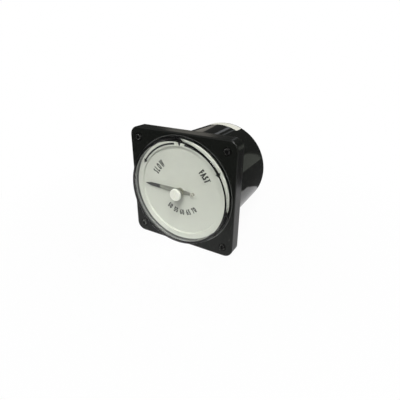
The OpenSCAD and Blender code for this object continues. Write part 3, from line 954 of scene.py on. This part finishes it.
@dataclass(frozen=True)
class Finishes:
    """Every finish of the meter."""

    moulding: Finish = Moulding(
        "black moulding", srgb(22, 24, 21), roughness=(0.26, 0.34), polish=(0.05, 0.09), scuff=0.05
    )
    # The cover's edge value paints wear with a highlight on its front edges, and its lip value
    # paints a highlight round its opening.
    cover: Finish = Moulding(
        "black cover moulding", srgb(22, 24, 21), roughness=(0.2, 0.28), reflection=0.32, edge=0.1,
        lip=0.42,
    )
    clear: ClearPlastic = ClearPlastic("clear window plastic")
    cap: Finish = Moulding(
        "white cap plastic", srgb(246, 248, 236), roughness=(0.3, 0.45), scuff=0.0,
        grain=0.003 * MM,
    )
    dial: Finish = Enamel("dial enamel", srgb(197, 200, 190), srgb(191, 193, 183))
    ink: Finish = Enamel("black print", srgb(8, 9, 7), srgb(14, 15, 12), reflection=0.1)
    # The screws' second colour is a painted highlight, with wear, round their heads' rims.
    screw: Finish = BlackScrews("blackened steel", srgb(22, 22, 21), srgb(112, 113, 110))
    steel: Finish = Metal("plated steel", srgb(176, 177, 172), srgb(150, 148, 140))
    iron: Finish = Metal("soft iron", srgb(110, 110, 112), srgb(84, 80, 76), (0.4, 0.6))
    sheets: Finish = Metal("lamination steel", srgb(122, 124, 128), srgb(92, 90, 88), (0.35, 0.5))
    arm: Finish = Enamel("pointer paint", srgb(126, 128, 118), srgb(112, 114, 104))
    blade: Finish = Enamel("pointer black", srgb(34, 36, 33), srgb(24, 26, 24), reflection=0.2)
    brass: Finish = Metal("turned brass", srgb(204, 172, 96), srgb(160, 128, 66))
    nickel: Finish = Metal("nickel plate", srgb(198, 196, 186), srgb(172, 168, 156), (0.18, 0.3))
    nylon: Finish = Moulding("natural nylon", srgb(222, 216, 196), roughness=(0.4, 0.5), scuff=0.0)
    wire: Finish = Metal("enamelled wire", srgb(190, 104, 58), srgb(168, 86, 44), (0.25, 0.35), 0.7)
    # The windings' second colours are painted shade between their turns.
    phase: Finish = Winding("phase winding", srgb(186, 100, 54), srgb(84, 40, 22))
    dark_phase: Finish = Winding("second phase winding", srgb(146, 70, 40), srgb(60, 28, 16))
    phenolic: Finish = Moulding("brown phenolic sheet", srgb(112, 70, 40), roughness=(0.35, 0.5))
    ceramic: Finish = Moulding("green vitreous enamel", srgb(92, 112, 84), roughness=(0.12, 0.22))
    can: Finish = Metal("drawn aluminium", srgb(190, 192, 194), srgb(168, 170, 172), (0.3, 0.45))
    insulation: Finish = Moulding("red insulation", srgb(150, 44, 34), roughness=(0.35, 0.5))
    rubber: Finish = Moulding("black rubber", srgb(30, 30, 30), roughness=(0.7, 0.85), scuff=0.0)
    paper: Finish = Enamel(
        "cream paper", srgb(252, 252, 241), srgb(244, 243, 228), (0.55, 0.7), grain=0.012 * MM
    )

    def made(self) -> Stuff:
        """Returns one material of each finish, by the finish's name."""
        return {item.name: getattr(self, item.name).material() for item in fields(self)}


@dataclass
class Assembly:
    """A part of the meter that is dressed and built by itself.

    Attributes:
        stuff: The finishes' materials.
    """

    stuff: Stuff

    def keep(self, piece: Object, slot: str, *nodes: str) -> None:
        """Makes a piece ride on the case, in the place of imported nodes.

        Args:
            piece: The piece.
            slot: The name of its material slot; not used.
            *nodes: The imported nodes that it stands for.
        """
        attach(piece, CASE)
        if nodes:
            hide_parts(*nodes)
        LOG.info("%s: %d faces on %s", piece.name, len(piece.data.polygons), CASE)

    def dress(self, finish: str, *nodes: str) -> None:
        """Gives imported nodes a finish.

        Args:
            finish: The finish's name among the meter's.
            *nodes: The nodes.
        """
        for node in nodes:
            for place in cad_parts[node].material_slots:
                place.material = self.stuff[finish]
            LOG.info("%s: dressed in %s", node, finish)

    def build(self) -> None:
        """Dresses what is packed and builds the rest."""
        raise NotImplementedError


@dataclass
class Housing(Assembly):
    """The case with its cover, cover screws, gasket and barrel label."""

    barrel_front_radius: float = 50.26 * MM
    barrel_rear_radius: float = 48.25 * MM
    barrel_length: float = 82.4 * MM
    packed_label_lift: float = 0.17 * MM
    label_front: float = 66.3 * MM
    label_rear: float = 78.9 * MM
    label_start: float = 66.3
    label_end: float = 104.5
    label_thickness: float = 0.15 * MM
    label_gap: float = 0.02 * MM
    label_corner: float = 0.9 * MM
    label_columns: int = 72

    def _barrel_radius(self, y: float) -> float:
        """Works out how wide the barrel is under the label.

        Args:
            y: The depth behind the panel.

        Returns:
            The barrel's radius there.
        """
        low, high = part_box("barrel_label")
        draft = (self.barrel_front_radius - self.barrel_rear_radius) / self.barrel_length
        return high.z - self.packed_label_lift + (low.y - y) * draft

    def _label_column(self, shape: BMesh, share: float) -> list[BMVert]:
        """Adds the four corners of the label's section at a share of its sweep.

        Args:
            shape: The label's mesh.
            share: The share, which is eased so that the rounded ends have the most columns.

        Returns:
            The corners, in their order round the section.
        """
        start, end = math.radians(self.label_start), math.radians(self.label_end)
        eased = 0.5 - 0.5 * math.cos(math.pi * share)
        to_end = min(eased, 1 - eased) * (end - start) * self._barrel_radius(self.label_front)
        inside = max(self.label_corner - to_end, 0)
        cut = self.label_corner - math.sqrt(max(self.label_corner**2 - inside**2, 0))
        under, over = self.label_gap, self.label_gap + self.label_thickness
        front, rear = self.label_front + cut, self.label_rear - cut
        return [
            shape.verts.new(
                from_front(self._barrel_radius(y) + lift, start + (end - start) * eased, y)
            )
            for y, lift in ((front, under), (front, over), (rear, over), (rear, under))
        ]

    def _label(self) -> None:
        """Wraps the bare paper label round the top of the barrel."""
        shape = bmesh.new()
        count = self.label_columns
        columns = [self._label_column(shape, i / count) for i in range(count + 1)]
        for a, b in zip(columns, columns[1:]):
            for k in range(4):
                j = (k + 1) % 4
                shape.faces.new((a[k], a[j], b[j], b[k]))
        shape.faces.new(columns[0])
        shape.faces.new(columns[-1])
        piece = Piece.from_bmesh("paper_label", shape, self.stuff["paper"])
        self.keep(piece, "label_paper", "barrel_label")

    def build(self) -> None:
        """Dresses the mouldings and adds the label."""
        self.dress("moulding", "case")
        self.dress("cover", "front_cover")
        self.dress("screw", "cover_screws")
        self.dress("rubber", "window_gasket")
        self._label()


@dataclass
class Window(Assembly):
    """The clear cup over the dial, with its foot under the cover's lip, and the cap in it."""

    wall: float = 2.3 * MM
    base_radius: float = 51.3 * MM
    front_radius: float = 51.1 * MM
    bore_radius: float = 49.0 * MM
    corner_radius: float = 48.9 * MM
    hole_radius: float = 4.05 * MM
    lip_depth: float = 2.1 * MM
    straight_end: float = 0.1 * MM
    edge_round: float = 0.5 * MM
    segments: int = 256

    def build(self) -> None:
        """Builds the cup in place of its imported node, and dresses the cap."""
        low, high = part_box("window")
        cover_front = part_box("front_cover")[0].y
        lip_back = cover_front + self.lip_depth
        inside = [
            (self.hole_radius, low.y + self.wall),
            (self.corner_radius, low.y + self.wall),
            (self.bore_radius, cover_front + self.straight_end),
            (self.bore_radius, high.y),
        ]
        outside = [
            (high.x, high.y),
            (high.x, lip_back),
            (self.base_radius, lip_back),
            (self.base_radius, cover_front),
            (self.front_radius, low.y),
            (self.hole_radius, low.y),
        ]
        corners = inside + outside
        radii = [self.edge_round if c == (self.front_radius, low.y) else 0 for c in corners]
        profile = rounded(corners, radii)
        piece = Piece.lathe("window_cup", profile, self.stuff["clear"], self.segments)
        self.keep(piece, "clear_window", "window")
        self.dress("cap", "center_cap")
        self.dress("steel", "cap_retainer")


@dataclass(frozen=True)
class Legend:
    """A line of characters set round the dial.

    Attributes:
        text: The characters.
        inner: Radius of the characters' near side.
        outer: Radius of their far side.
        start: Angle of the line's left end, in degrees from three o'clock.
        end: Angle of its right end.
        facing: Which way the characters' tops point.
        weight: How far each stroke is thickened on either side, in metres.
        gap: Space between characters, as a share of their height.
    """

    text: str
    inner: float
    outer: float
    start: float
    end: float
    facing: Facing = Facing.OUTWARD
    weight: float = 0.42 * MM
    gap: float = 0.26


@dataclass
class Dial(Assembly):
    """The dial with its print, studs and legends; the marks' angles are from the top."""

    print_height: float = 0.04 * MM
    floor_gap: float = 0.65 * MM
    arrow_radius: float = 45.4 * MM
    arrow_width: float = 1.7 * MM
    arrow_start: float = 6.5
    arrow_neck: float = 56.5
    arrow_tip: float = 61.5
    arrow_head: float = 4.6 * MM
    arrow_steps: int = 40
    index_width: float = 4.2 * MM
    index_tip: float = 43.3 * MM
    index_base: float = 47.7 * MM
    cap_height: float = 0.73
    space_width: float = 0.3
    curve_steps: int = 4
    least_spread: float = 0.6
    legends: tuple[Legend, ...] = (
        Legend("SLOW", 28.0 * MM, 35.4 * MM, 153.0, 128.5, weight=0.36 * MM, gap=0.62),
        Legend("FAST", 28.3 * MM, 35.3 * MM, 48.4, 28.0),
        Legend(
            "50 55 60 65 70", 18.3 * MM, 24.2 * MM, -131.0, -43.5, Facing.INWARD,
            weight=0.27 * MM, gap=0.22,
        ),
    )

    def _characters(self, text: str) -> list[tuple[Mesh, float, float]]:
        """Makes the characters of a text.

        Args:
            text: The text.

        Returns:
            Each character's flat mesh, its left edge and its width.
        """
        made = []
        for letter in text:
            curve = bpy.data.curves.new("letter", "FONT")
            curve.body = letter
            curve.resolution_u = self.curve_steps
            mesh = plain_mesh(place_object("letter", curve))
            bpy.data.curves.remove(curve)
            xs = [v.co.x for v in mesh.vertices] or [0.0, self.space_width]
            made.append((mesh, min(xs), max(xs) - min(xs)))
        return made

    def _embolden(self, faces: list[BMFace], by: float) -> None:
        """Moves a flat character's outline outwards.

        Args:
            faces: The character's faces.
            by: How far its outline moves.
        """
        moves: dict[BMVert, list[Vector]] = {}
        for face in faces:
            for loop in face.loops:
                if len(loop.edge.link_faces) > 1:
                    continue
                a, b = loop.edge.verts
                out = face.normal.cross(b.co - a.co).normalized()
                if out.dot(face.calc_center_median() - a.co) > 0:
                    out.negate()
                moves.setdefault(a, []).append(out)
                moves.setdefault(b, []).append(out)
        for vert, outs in moves.items():
            total = sum(outs, Vector())
            if len(outs) == 2:
                total /= max(1 + outs[0].dot(outs[1]), self.least_spread)
            vert.co += total * by

    def _set(self, legend: Legend, floor: float) -> BMesh:
        """Sets a legend's raised characters in place.

        Args:
            legend: The line.
            floor: Depth of the surface it is printed on.

        Returns:
            The mesh of all its characters.
        """
        letters = self._characters(legend.text)
        total = sum(width for _, _, width in letters) + legend.gap * (len(letters) - 1)
        height = legend.outer - legend.inner - 2 * legend.weight
        start, sweep = math.radians(legend.start), math.radians(legend.end - legend.start)
        stretch = abs(sweep) * (legend.inner + legend.outer) / 2 / total
        way = legend.facing.value
        foot = legend.inner if legend.facing is Facing.OUTWARD else legend.outer
        shape = bmesh.new()
        along = 0.0
        for mesh, left, width in letters:
            out = from_front(1, start + sweep * (along + width / 2) / total, 0)
            side = Vector((out.z, 0, -out.x)) * way
            base = out * (foot + legend.weight * way) + Vector((0, floor, 0))
            places = [
                shape.verts.new(
                    base
                    + out * (way * v.co.y / self.cap_height * height)
                    + side * ((v.co.x - left - width / 2) * stretch)
                )
                for v in mesh.vertices
            ]
            faces = [shape.faces.new([places[i] for i in p.vertices]) for p in mesh.polygons]
            if faces:
                shape.normal_update()
                self._embolden(faces, legend.weight)
                raise_faces(shape, faces, -self.print_height)
            along += width + legend.gap
            bpy.data.meshes.remove(mesh)
        return shape

    def _marks(self) -> BMesh:
        """Draws the two curved arrows and the index mark, raised on the scale ring.

        Returns:
            The mesh of all three.
        """
        low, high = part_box("dial_print")
        shape = bmesh.new()

        def place(radius: float, angle: float) -> BMVert:
            """Returns a new corner on the ring's face, at an angle from the top."""
            return shape.verts.new(from_front(radius, math.radians(90 + angle), high.y))

        def across(width: float, angle: float) -> tuple[BMVert, BMVert]:
            """Returns the corners on either side of an arrow's middle line."""
            half = width / 2
            return place(self.arrow_radius - half, angle), place(self.arrow_radius + half, angle)

        length = self.arrow_neck - self.arrow_start
        for side in (1, -1):
            turns = (self.arrow_start + length * k / self.arrow_steps
                     for k in range(self.arrow_steps + 1))
            edges = [across(self.arrow_width, side * turn) for turn in turns]
            for (a, b), (c, d) in zip(edges, edges[1:]):
                shape.faces.new((a, b, d, c))
            near, far = across(self.arrow_head, side * self.arrow_neck)
            tip = place(self.arrow_radius, side * self.arrow_tip)
            shape.faces.new((near, *edges[-1], far, tip))
        slant = math.degrees(self.index_width / 2 / self.index_base)
        base = (place(self.index_base, slant), place(self.index_base, -slant))
        shape.faces.new((*base, place(self.index_tip, 0)))
        bmesh.ops.recalc_face_normals(shape, faces=shape.faces[:])
        raise_faces(shape, shape.faces[:], low.y - high.y)
        return shape

    def build(self) -> None:
        """Dresses the dial and prints its marks on the ring and its legends on the floor."""
        self.dress("dial", "dial_plate")
        ink = self.stuff["ink"]
        marks = Piece.from_bmesh("dial_marks", self._marks(), ink)
        self.keep(marks, "dial_ink", "dial_print")
        self.dress("steel", "dial_studs")
        self.dress("brass", "dial_stud_nuts")
        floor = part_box("pointer_arm")[1].y + self.floor_gap
        for number, legend in enumerate(self.legends, 1):
            piece = Piece.from_bmesh(f"legend_{number}", self._set(legend, floor), ink)
            self.keep(piece, "dial_ink")


@dataclass
class Movement(Assembly):
    """The pointer, rotor and stator, with the coils and bridges that hold them."""

    sheet_pitch: float = 0.5 * MM
    sheet_gap: float = 0.06 * MM

    def _stack(self, node: str, tree: GeometryTree) -> None:
        """Builds one half of the stator from separate sheets of its packed outline.

        Args:
            node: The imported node.
            tree: The tree that stacks sheets.
        """
        low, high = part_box(node)
        shape = bmesh.new()
        shape.from_mesh(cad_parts[node].data)
        bmesh.ops.remove_doubles(shape, verts=shape.verts, dist=TINY)
        away = [f for f in shape.faces if f.calc_center_median().y > low.y + TINY]
        bmesh.ops.delete(shape, geom=away, context="FACES")
        outline = bpy.data.meshes.new(node)
        shape.to_mesh(outline)
        shape.free()
        count = round((high.y - low.y) / self.sheet_pitch)
        pitch = (high.y - low.y + self.sheet_gap) / count
        piece = tree.run(
            f"{node}_sheets", outline, self.stuff["sheets"], Count=count, Pitch=pitch,
            Thickness=pitch - self.sheet_gap,
        )
        self.keep(piece, "lamination_steel", node)

    def build(self) -> None:
        """Dresses the movement and builds what repeats in it."""
        self.dress("arm", "pointer_arm")
        self.dress("blade", "pointer_blade")
        self.dress("nickel", "pointer_weight", "pointer_hub")
        self.dress(
            "steel", "pointer_staff", "movement_plate", "plate_screws", "bridge_screws",
            "stator_bolts", "rear_jewel_screw",
        )
        self.dress("iron", "rotor_sleeve", "front_vane", "rear_vane")
        self.dress(
            "brass", "bridge_posts", "front_bridge", "front_bearing", "stator_spacers",
            "rear_bridge", "stator_nuts", "jewel_lock_nut",
        )
        self.dress("nylon", "coil_former")
        self.dress("wire", "polarising_coil")
        self.dress("phase", "phase_a_winding")
        self.dress("dark_phase", "phase_b_winding")
        sheets = Trees.sheets()
        for node in ("front_stack", "rear_stack"):
            self._stack(node, sheets)


@dataclass
class Connections(Assembly):
    """Component board, leads, terminals and mounting studs."""

    crest: float = 2.4 * MM
    thread_rise: float = 0.42 * MM
    thread_pitch: float = 0.8 * MM
    thread_width: float = 0.74 * MM
    thread_stop: float = 0.25 * MM
    tip_length: float = 0.3 * MM
    tip_chamfer: float = 0.6 * MM
    anchor_radius: float = 3.2 * MM
    nut_bore: float = 2.2 * MM
    seat: float = 86.5 * MM
    segments: int = 32

    def _studs(
        self, node: str, tree: GeometryTree, metal: str, slot: str, head: float, start: float,
        reach: float,
    ) -> None:
        """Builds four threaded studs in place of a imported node.

        Args:
            node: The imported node.
            tree: The tree that winds ridges.
            metal: The name of the studs' finish.
            slot: The studs' material slot.
            head: Radius of a stud up to its thread.
            start: Depth at which the thread starts.
            reach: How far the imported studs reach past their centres.
        """
        low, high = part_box(node)
        root = self.crest - self.thread_rise
        corners = [(0.0, low.y), (head, low.y), (head, start), (root, start)]
        corners += [(root, high.y - self.tip_length), (self.crest - self.tip_chamfer, high.y)]
        corners.append((0.0, high.y))
        material = self.stuff[metal]
        core = Piece.lathe("core", corners, material, self.segments, closed=False)
        half = (high.x - low.x) / 2 - reach
        places = bpy.data.meshes.new("stud_places")
        places.from_pydata([(x, 0, z) for x in (-half, half) for z in (-half, half)], [], [])
        piece = tree.run(
            f"threaded_{node}", places, material, Core=core, Radius=root, Rise=self.thread_rise,
            Width=self.thread_width, Pitch=self.thread_pitch, Start=start,
            Length=high.y - self.thread_stop - start,
        )
        bpy.data.objects.remove(core)
        self.keep(piece, slot, node)

    def build(self) -> None:
        """Dresses the board and terminals and threads the studs."""
        self.dress("phenolic", "component_board")
        self.dress("ceramic", "series_resistors")
        self.dress("can", "phase_capacitor")
        self.dress("insulation", "internal_leads")
        self.dress("brass", "terminal_nuts", "terminal_washers", "inner_nuts")
        helix = Trees.helix()
        self._studs(
            "mounting_studs", helix, "steel", "plated_steel", self.anchor_radius, 0.0,
            self.anchor_radius,
        )
        self._studs(
            "terminal_studs", helix, "brass", "brass", self.nut_bore, self.seat, self.crest
        )


# --- The studio -------------------------------------------------------------------------


@dataclass(frozen=True)
class Card:
    """A reflector that only glossy surfaces see.

    Attributes:
        azimuths: Its left and right ends, in degrees from behind the meter.
        heights: Its lower and upper ends, in degrees above the horizon.
        colour: Its linear colour.
        distance: How far it stands from the meter, in metres.
        strength: How many times its colour it glows.
    """

    azimuths: Range
    heights: Range
    colour: Colour
    distance: float = 3.0
    strength: float = 1.0


@dataclass(frozen=True)
class Lamp:
    """A square lamp that faces the meter.

    Attributes:
        name: Its name.
        place: Where it hangs.
        power: Its power, in watts.
        size: Its side.
    """

    name: str
    place: Place
    power: float
    size: float = 0.3


@dataclass
class Studio:
    """Camera, floor, world, lamps and reflectors.

    Attributes:
        camera_place: Where the camera stands.
        camera_right: Which way its right points.
        camera_up: Which way its top points.
        lens: Its focal length, in millimetres.
        sensor: Its sensor's width, in millimetres.
        floor_colour: The floor's colour under the lamps.
        floor_roughness: How rough it is.
        floor_slope: How far the floor rises for each metre behind the meter.
        floor_reach: How far it reaches to each side.
        sheet_edges: Axis, place and softness of each edge of the white sheet on it.
        sheet_level: How bright glossy surfaces see the sheet.
        lit_reach: Distances between which the lamps' light on the floor gives way to white.
        lit_share: How much of it is white next to the meter.
        glossy_share: How much of the floor glossy surfaces see as the sheet.
        dark: How bright glossy surfaces see what lies beyond the sheet and behind the meter.
        pale: How bright they see the room in front of the meter.
        pale_turn: Share of +Y in a direction, where the room is dark and where it is pale.
        ambient: How bright the room is to what it lights.
        lamps: The lamps.
        cards: The reflectors.
    """

    camera_place: Vector = Vector((0.14715, -0.23449, 0.11778))
    camera_right: Vector = Vector((0.8669, 0.4983, 0.0115))
    camera_up: Vector = Vector((-0.2227, 0.3667, 0.9033))
    lens: float = 27.87
    sensor: float = 36.0
    floor_colour: Colour = (0.9, 0.9, 0.9)
    floor_roughness: float = 0.9
    floor_slope: float = 0.0902
    floor_reach: float = 6.0
    sheet_edges: tuple[tuple[str, float, float], ...] = (
        ("X", -0.45, 0.1), ("X", 0.45, -0.1), ("Y", -0.19, 0.14), ("Y", 0.128, -0.004),
    )
    sheet_level: float = 0.68
    lit_reach: Range = (0.1, 0.28)
    lit_share: float = 0.95
    glossy_share: float = 0.97
    dark: float = 0.05
    pale: float = 0.4
    pale_turn: Range = (0.35, -0.3)
    ambient: float = 0.22
    lamps: tuple[Lamp, ...] = (
        Lamp("key", (0.3, -0.65, 0.9), 8.4),
        Lamp("top", (0.15, 0.4, 0.8), 1.2),
    )
    cards: tuple[Card, ...] = (
        Card((24.9, 60.0), (0.4, 15.0), (0.32, 0.34, 0.3), distance=0.3),
        Card((-36.0, -27.0), (3.0, 21.0), (0.42, 0.4, 0.36)),
        Card((-17.5, -14.5), (14.0, 32.0), (0.5, 0.51, 0.53)),
        Card((-10.5, -9.0), (16.0, 34.0), (0.32, 0.33, 0.34)),
        Card((130.0, 146.0), (27.0, 41.0), (1.0, 1.0, 0.9615), strength=13.0),
    )

    def _camera(self) -> None:
        """Places the camera."""
        data = bpy.data.cameras.new("camera")
        data.lens = self.lens
        data.sensor_width = self.sensor
        camera = place_object("camera", data)
        back = self.camera_right.cross(self.camera_up).normalized()
        up = back.cross(self.camera_right).normalized()
        turn = Matrix((up.cross(back), up, back)).transposed().to_4x4()
        camera.matrix_world = Matrix.Translation(self.camera_place) @ turn
        bpy.context.scene.camera = camera

    @staticmethod
    def _sheet(name: str, corners: Sequence[Sequence[float]], shader: Shader) -> Object:
        """Adds a flat sheet to the stage.

        Args:
            name: The sheet's name.
            corners: Its four corners.
            shader: Its material.

        Returns:
            The object.
        """
        mesh = bpy.data.meshes.new(name)
        mesh.from_pydata(corners, [], [(0, 1, 2, 3)])
        piece = Piece.from_mesh(name, mesh, shader.material)
        return piece

    @staticmethod
    def _sight(wiring: Wiring) -> tuple[NodeSocket, NodeSocket]:
        """Tells the rays that look at the studio apart.

        Args:
            wiring: The tree that needs them.

        Returns:
            Masks of what the camera and the window see, and of what glossy surfaces see.
        """
        path = wiring.add("ShaderNodeLightPath").outputs
        direct = wiring.sum("LESS_THAN", path["Diffuse Depth"], 0.5)
        through = wiring.sum("MULTIPLY", path["Is Transmission Ray"], direct)
        return wiring.sum("MAXIMUM", path["Is Camera Ray"], through), path["Is Glossy Ray"]

    def _floor(self) -> None:
        """Lays the pale floor that the flange's edge and the barrel's rear stand on.

        The camera and the window see it as white, with the lamps' light on it near the
        meter. Glossy surfaces see a white sheet of limited size on it, and dark beyond.
        """
        bottom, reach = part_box("case")[0].z, self.floor_reach
        sides = ((-reach, -reach), (reach, -reach), (reach, reach), (-reach, reach))
        shader = Shader("floor")
        shader.set(Base_Color=(*self.floor_colour, 1), Roughness=self.floor_roughness)
        shader.set(Specular_IOR_Level=0.0)
        place = shader.split(shader.coordinates)
        sheet: Any = self.sheet_level
        for axis, edge, soft in self.sheet_edges:
            sheet = shader.sum("MULTIPLY", sheet, shader.ramp(place[axis], edge, edge + soft))
        away = shader.add("ShaderNodeVectorMath", Vector=shader.coordinates)
        away.operation = "LENGTH"
        far = shader.ramp(away.outputs["Value"], *self.lit_reach, low=self.lit_share)
        seen, glossy = self._sight(shader)
        share = shader.sum("MULTIPLY", glossy, self.glossy_share)
        share = shader.sum("MAXIMUM", shader.sum("MULTIPLY", seen, far), share)
        level = shader.sum("MAXIMUM", seen, shader.sum("MAXIMUM", sheet, self.dark))
        glow = shader.add("ShaderNodeEmission", Color=WHITE, Strength=level)
        shader.show(share, glow.outputs["Emission"])
        self._sheet("floor", [(x, y, bottom + self.floor_slope * y) for x, y in sides], shader)

    def _world(self) -> None:
        """Makes the room white to the camera and the window, and grey to what is lit.

        Glossy surfaces see it as pale in front of the meter and dark behind it.
        """
        world = bpy.data.worlds.new("studio")
        bpy.context.scene.world = world
        world.use_nodes = True
        world.node_tree.nodes.clear()
        wiring = Wiring(world.node_tree)
        towards = wiring.split(wiring.add("ShaderNodeTexCoord").outputs["Generated"])["Y"]
        seen, glossy = self._sight(wiring)
        gloss = wiring.ramp(towards, *self.pale_turn, low=self.dark, high=self.pale)
        ambient = wiring.sum("MULTIPLY", wiring.sum("SUBTRACT", 1.0, glossy), self.ambient)
        lit = wiring.sum("ADD", ambient, wiring.sum("MULTIPLY", glossy, gloss))
        level = wiring.sum("MAXIMUM", seen, lit)
        room = wiring.add("ShaderNodeBackground", Color=WHITE, Strength=level)
        wiring.add("ShaderNodeOutputWorld", Surface=room.outputs["Background"])

    def _lamp(self, lamp: Lamp) -> None:
        """Hangs a lamp.

        Args:
            lamp: Its place, size and power.
        """
        data = bpy.data.lights.new(lamp.name, "AREA")
        data.size = lamp.size
        data.energy = lamp.power
        holder = place_object(lamp.name, data)
        holder.location = lamp.place
        holder.rotation_mode = "QUATERNION"
        holder.rotation_quaternion = Vector(lamp.place).to_track_quat("Z", "Y")

    def _card(self, name: str, card: Card) -> None:
        """Stands a reflector out of the camera's sight.

        Args:
            name: Its name.
            card: Its place and colour.
        """
        (left, right), (low, high) = card.azimuths, card.heights
        corners = []
        for azimuth, height in ((left, low), (right, low), (right, high), (left, high)):
            a, h = math.radians(azimuth), math.radians(height)
            corners.append(Vector((math.sin(a), math.cos(a), math.tan(h))) * card.distance)
        shader = Shader(name)
        glow = shader.add("ShaderNodeEmission", Color=(*card.colour, 1), Strength=card.strength)
        shader.feed(shader.output, glow.outputs["Emission"])
        piece = self._sheet(name, corners, shader)
        piece.visible_camera = False
        piece.visible_diffuse = False
        piece.visible_shadow = False
        piece.visible_transmission = False

    def build(self) -> None:
        """Builds the studio."""
        bpy.context.scene.view_settings.view_transform = "Standard"
        self._camera()
        self._floor()
        self._world()
        for lamp in self.lamps:
            self._lamp(lamp)
        for number, card in enumerate(self.cards, 1):
            self._card(f"reflector_{number}", card)


def main() -> None:
    """Builds the studio and the meter."""
    logging.basicConfig(level=logging.INFO, format="%(name)s: %(message)s")
    Studio().build()
    stuff = Finishes().made()
    for part in (Housing, Window, Dial, Movement, Connections):
        LOG.info("building the %s", part.__name__.lower())
        part(stuff).build()


if __name__ == "__main__":
    main()
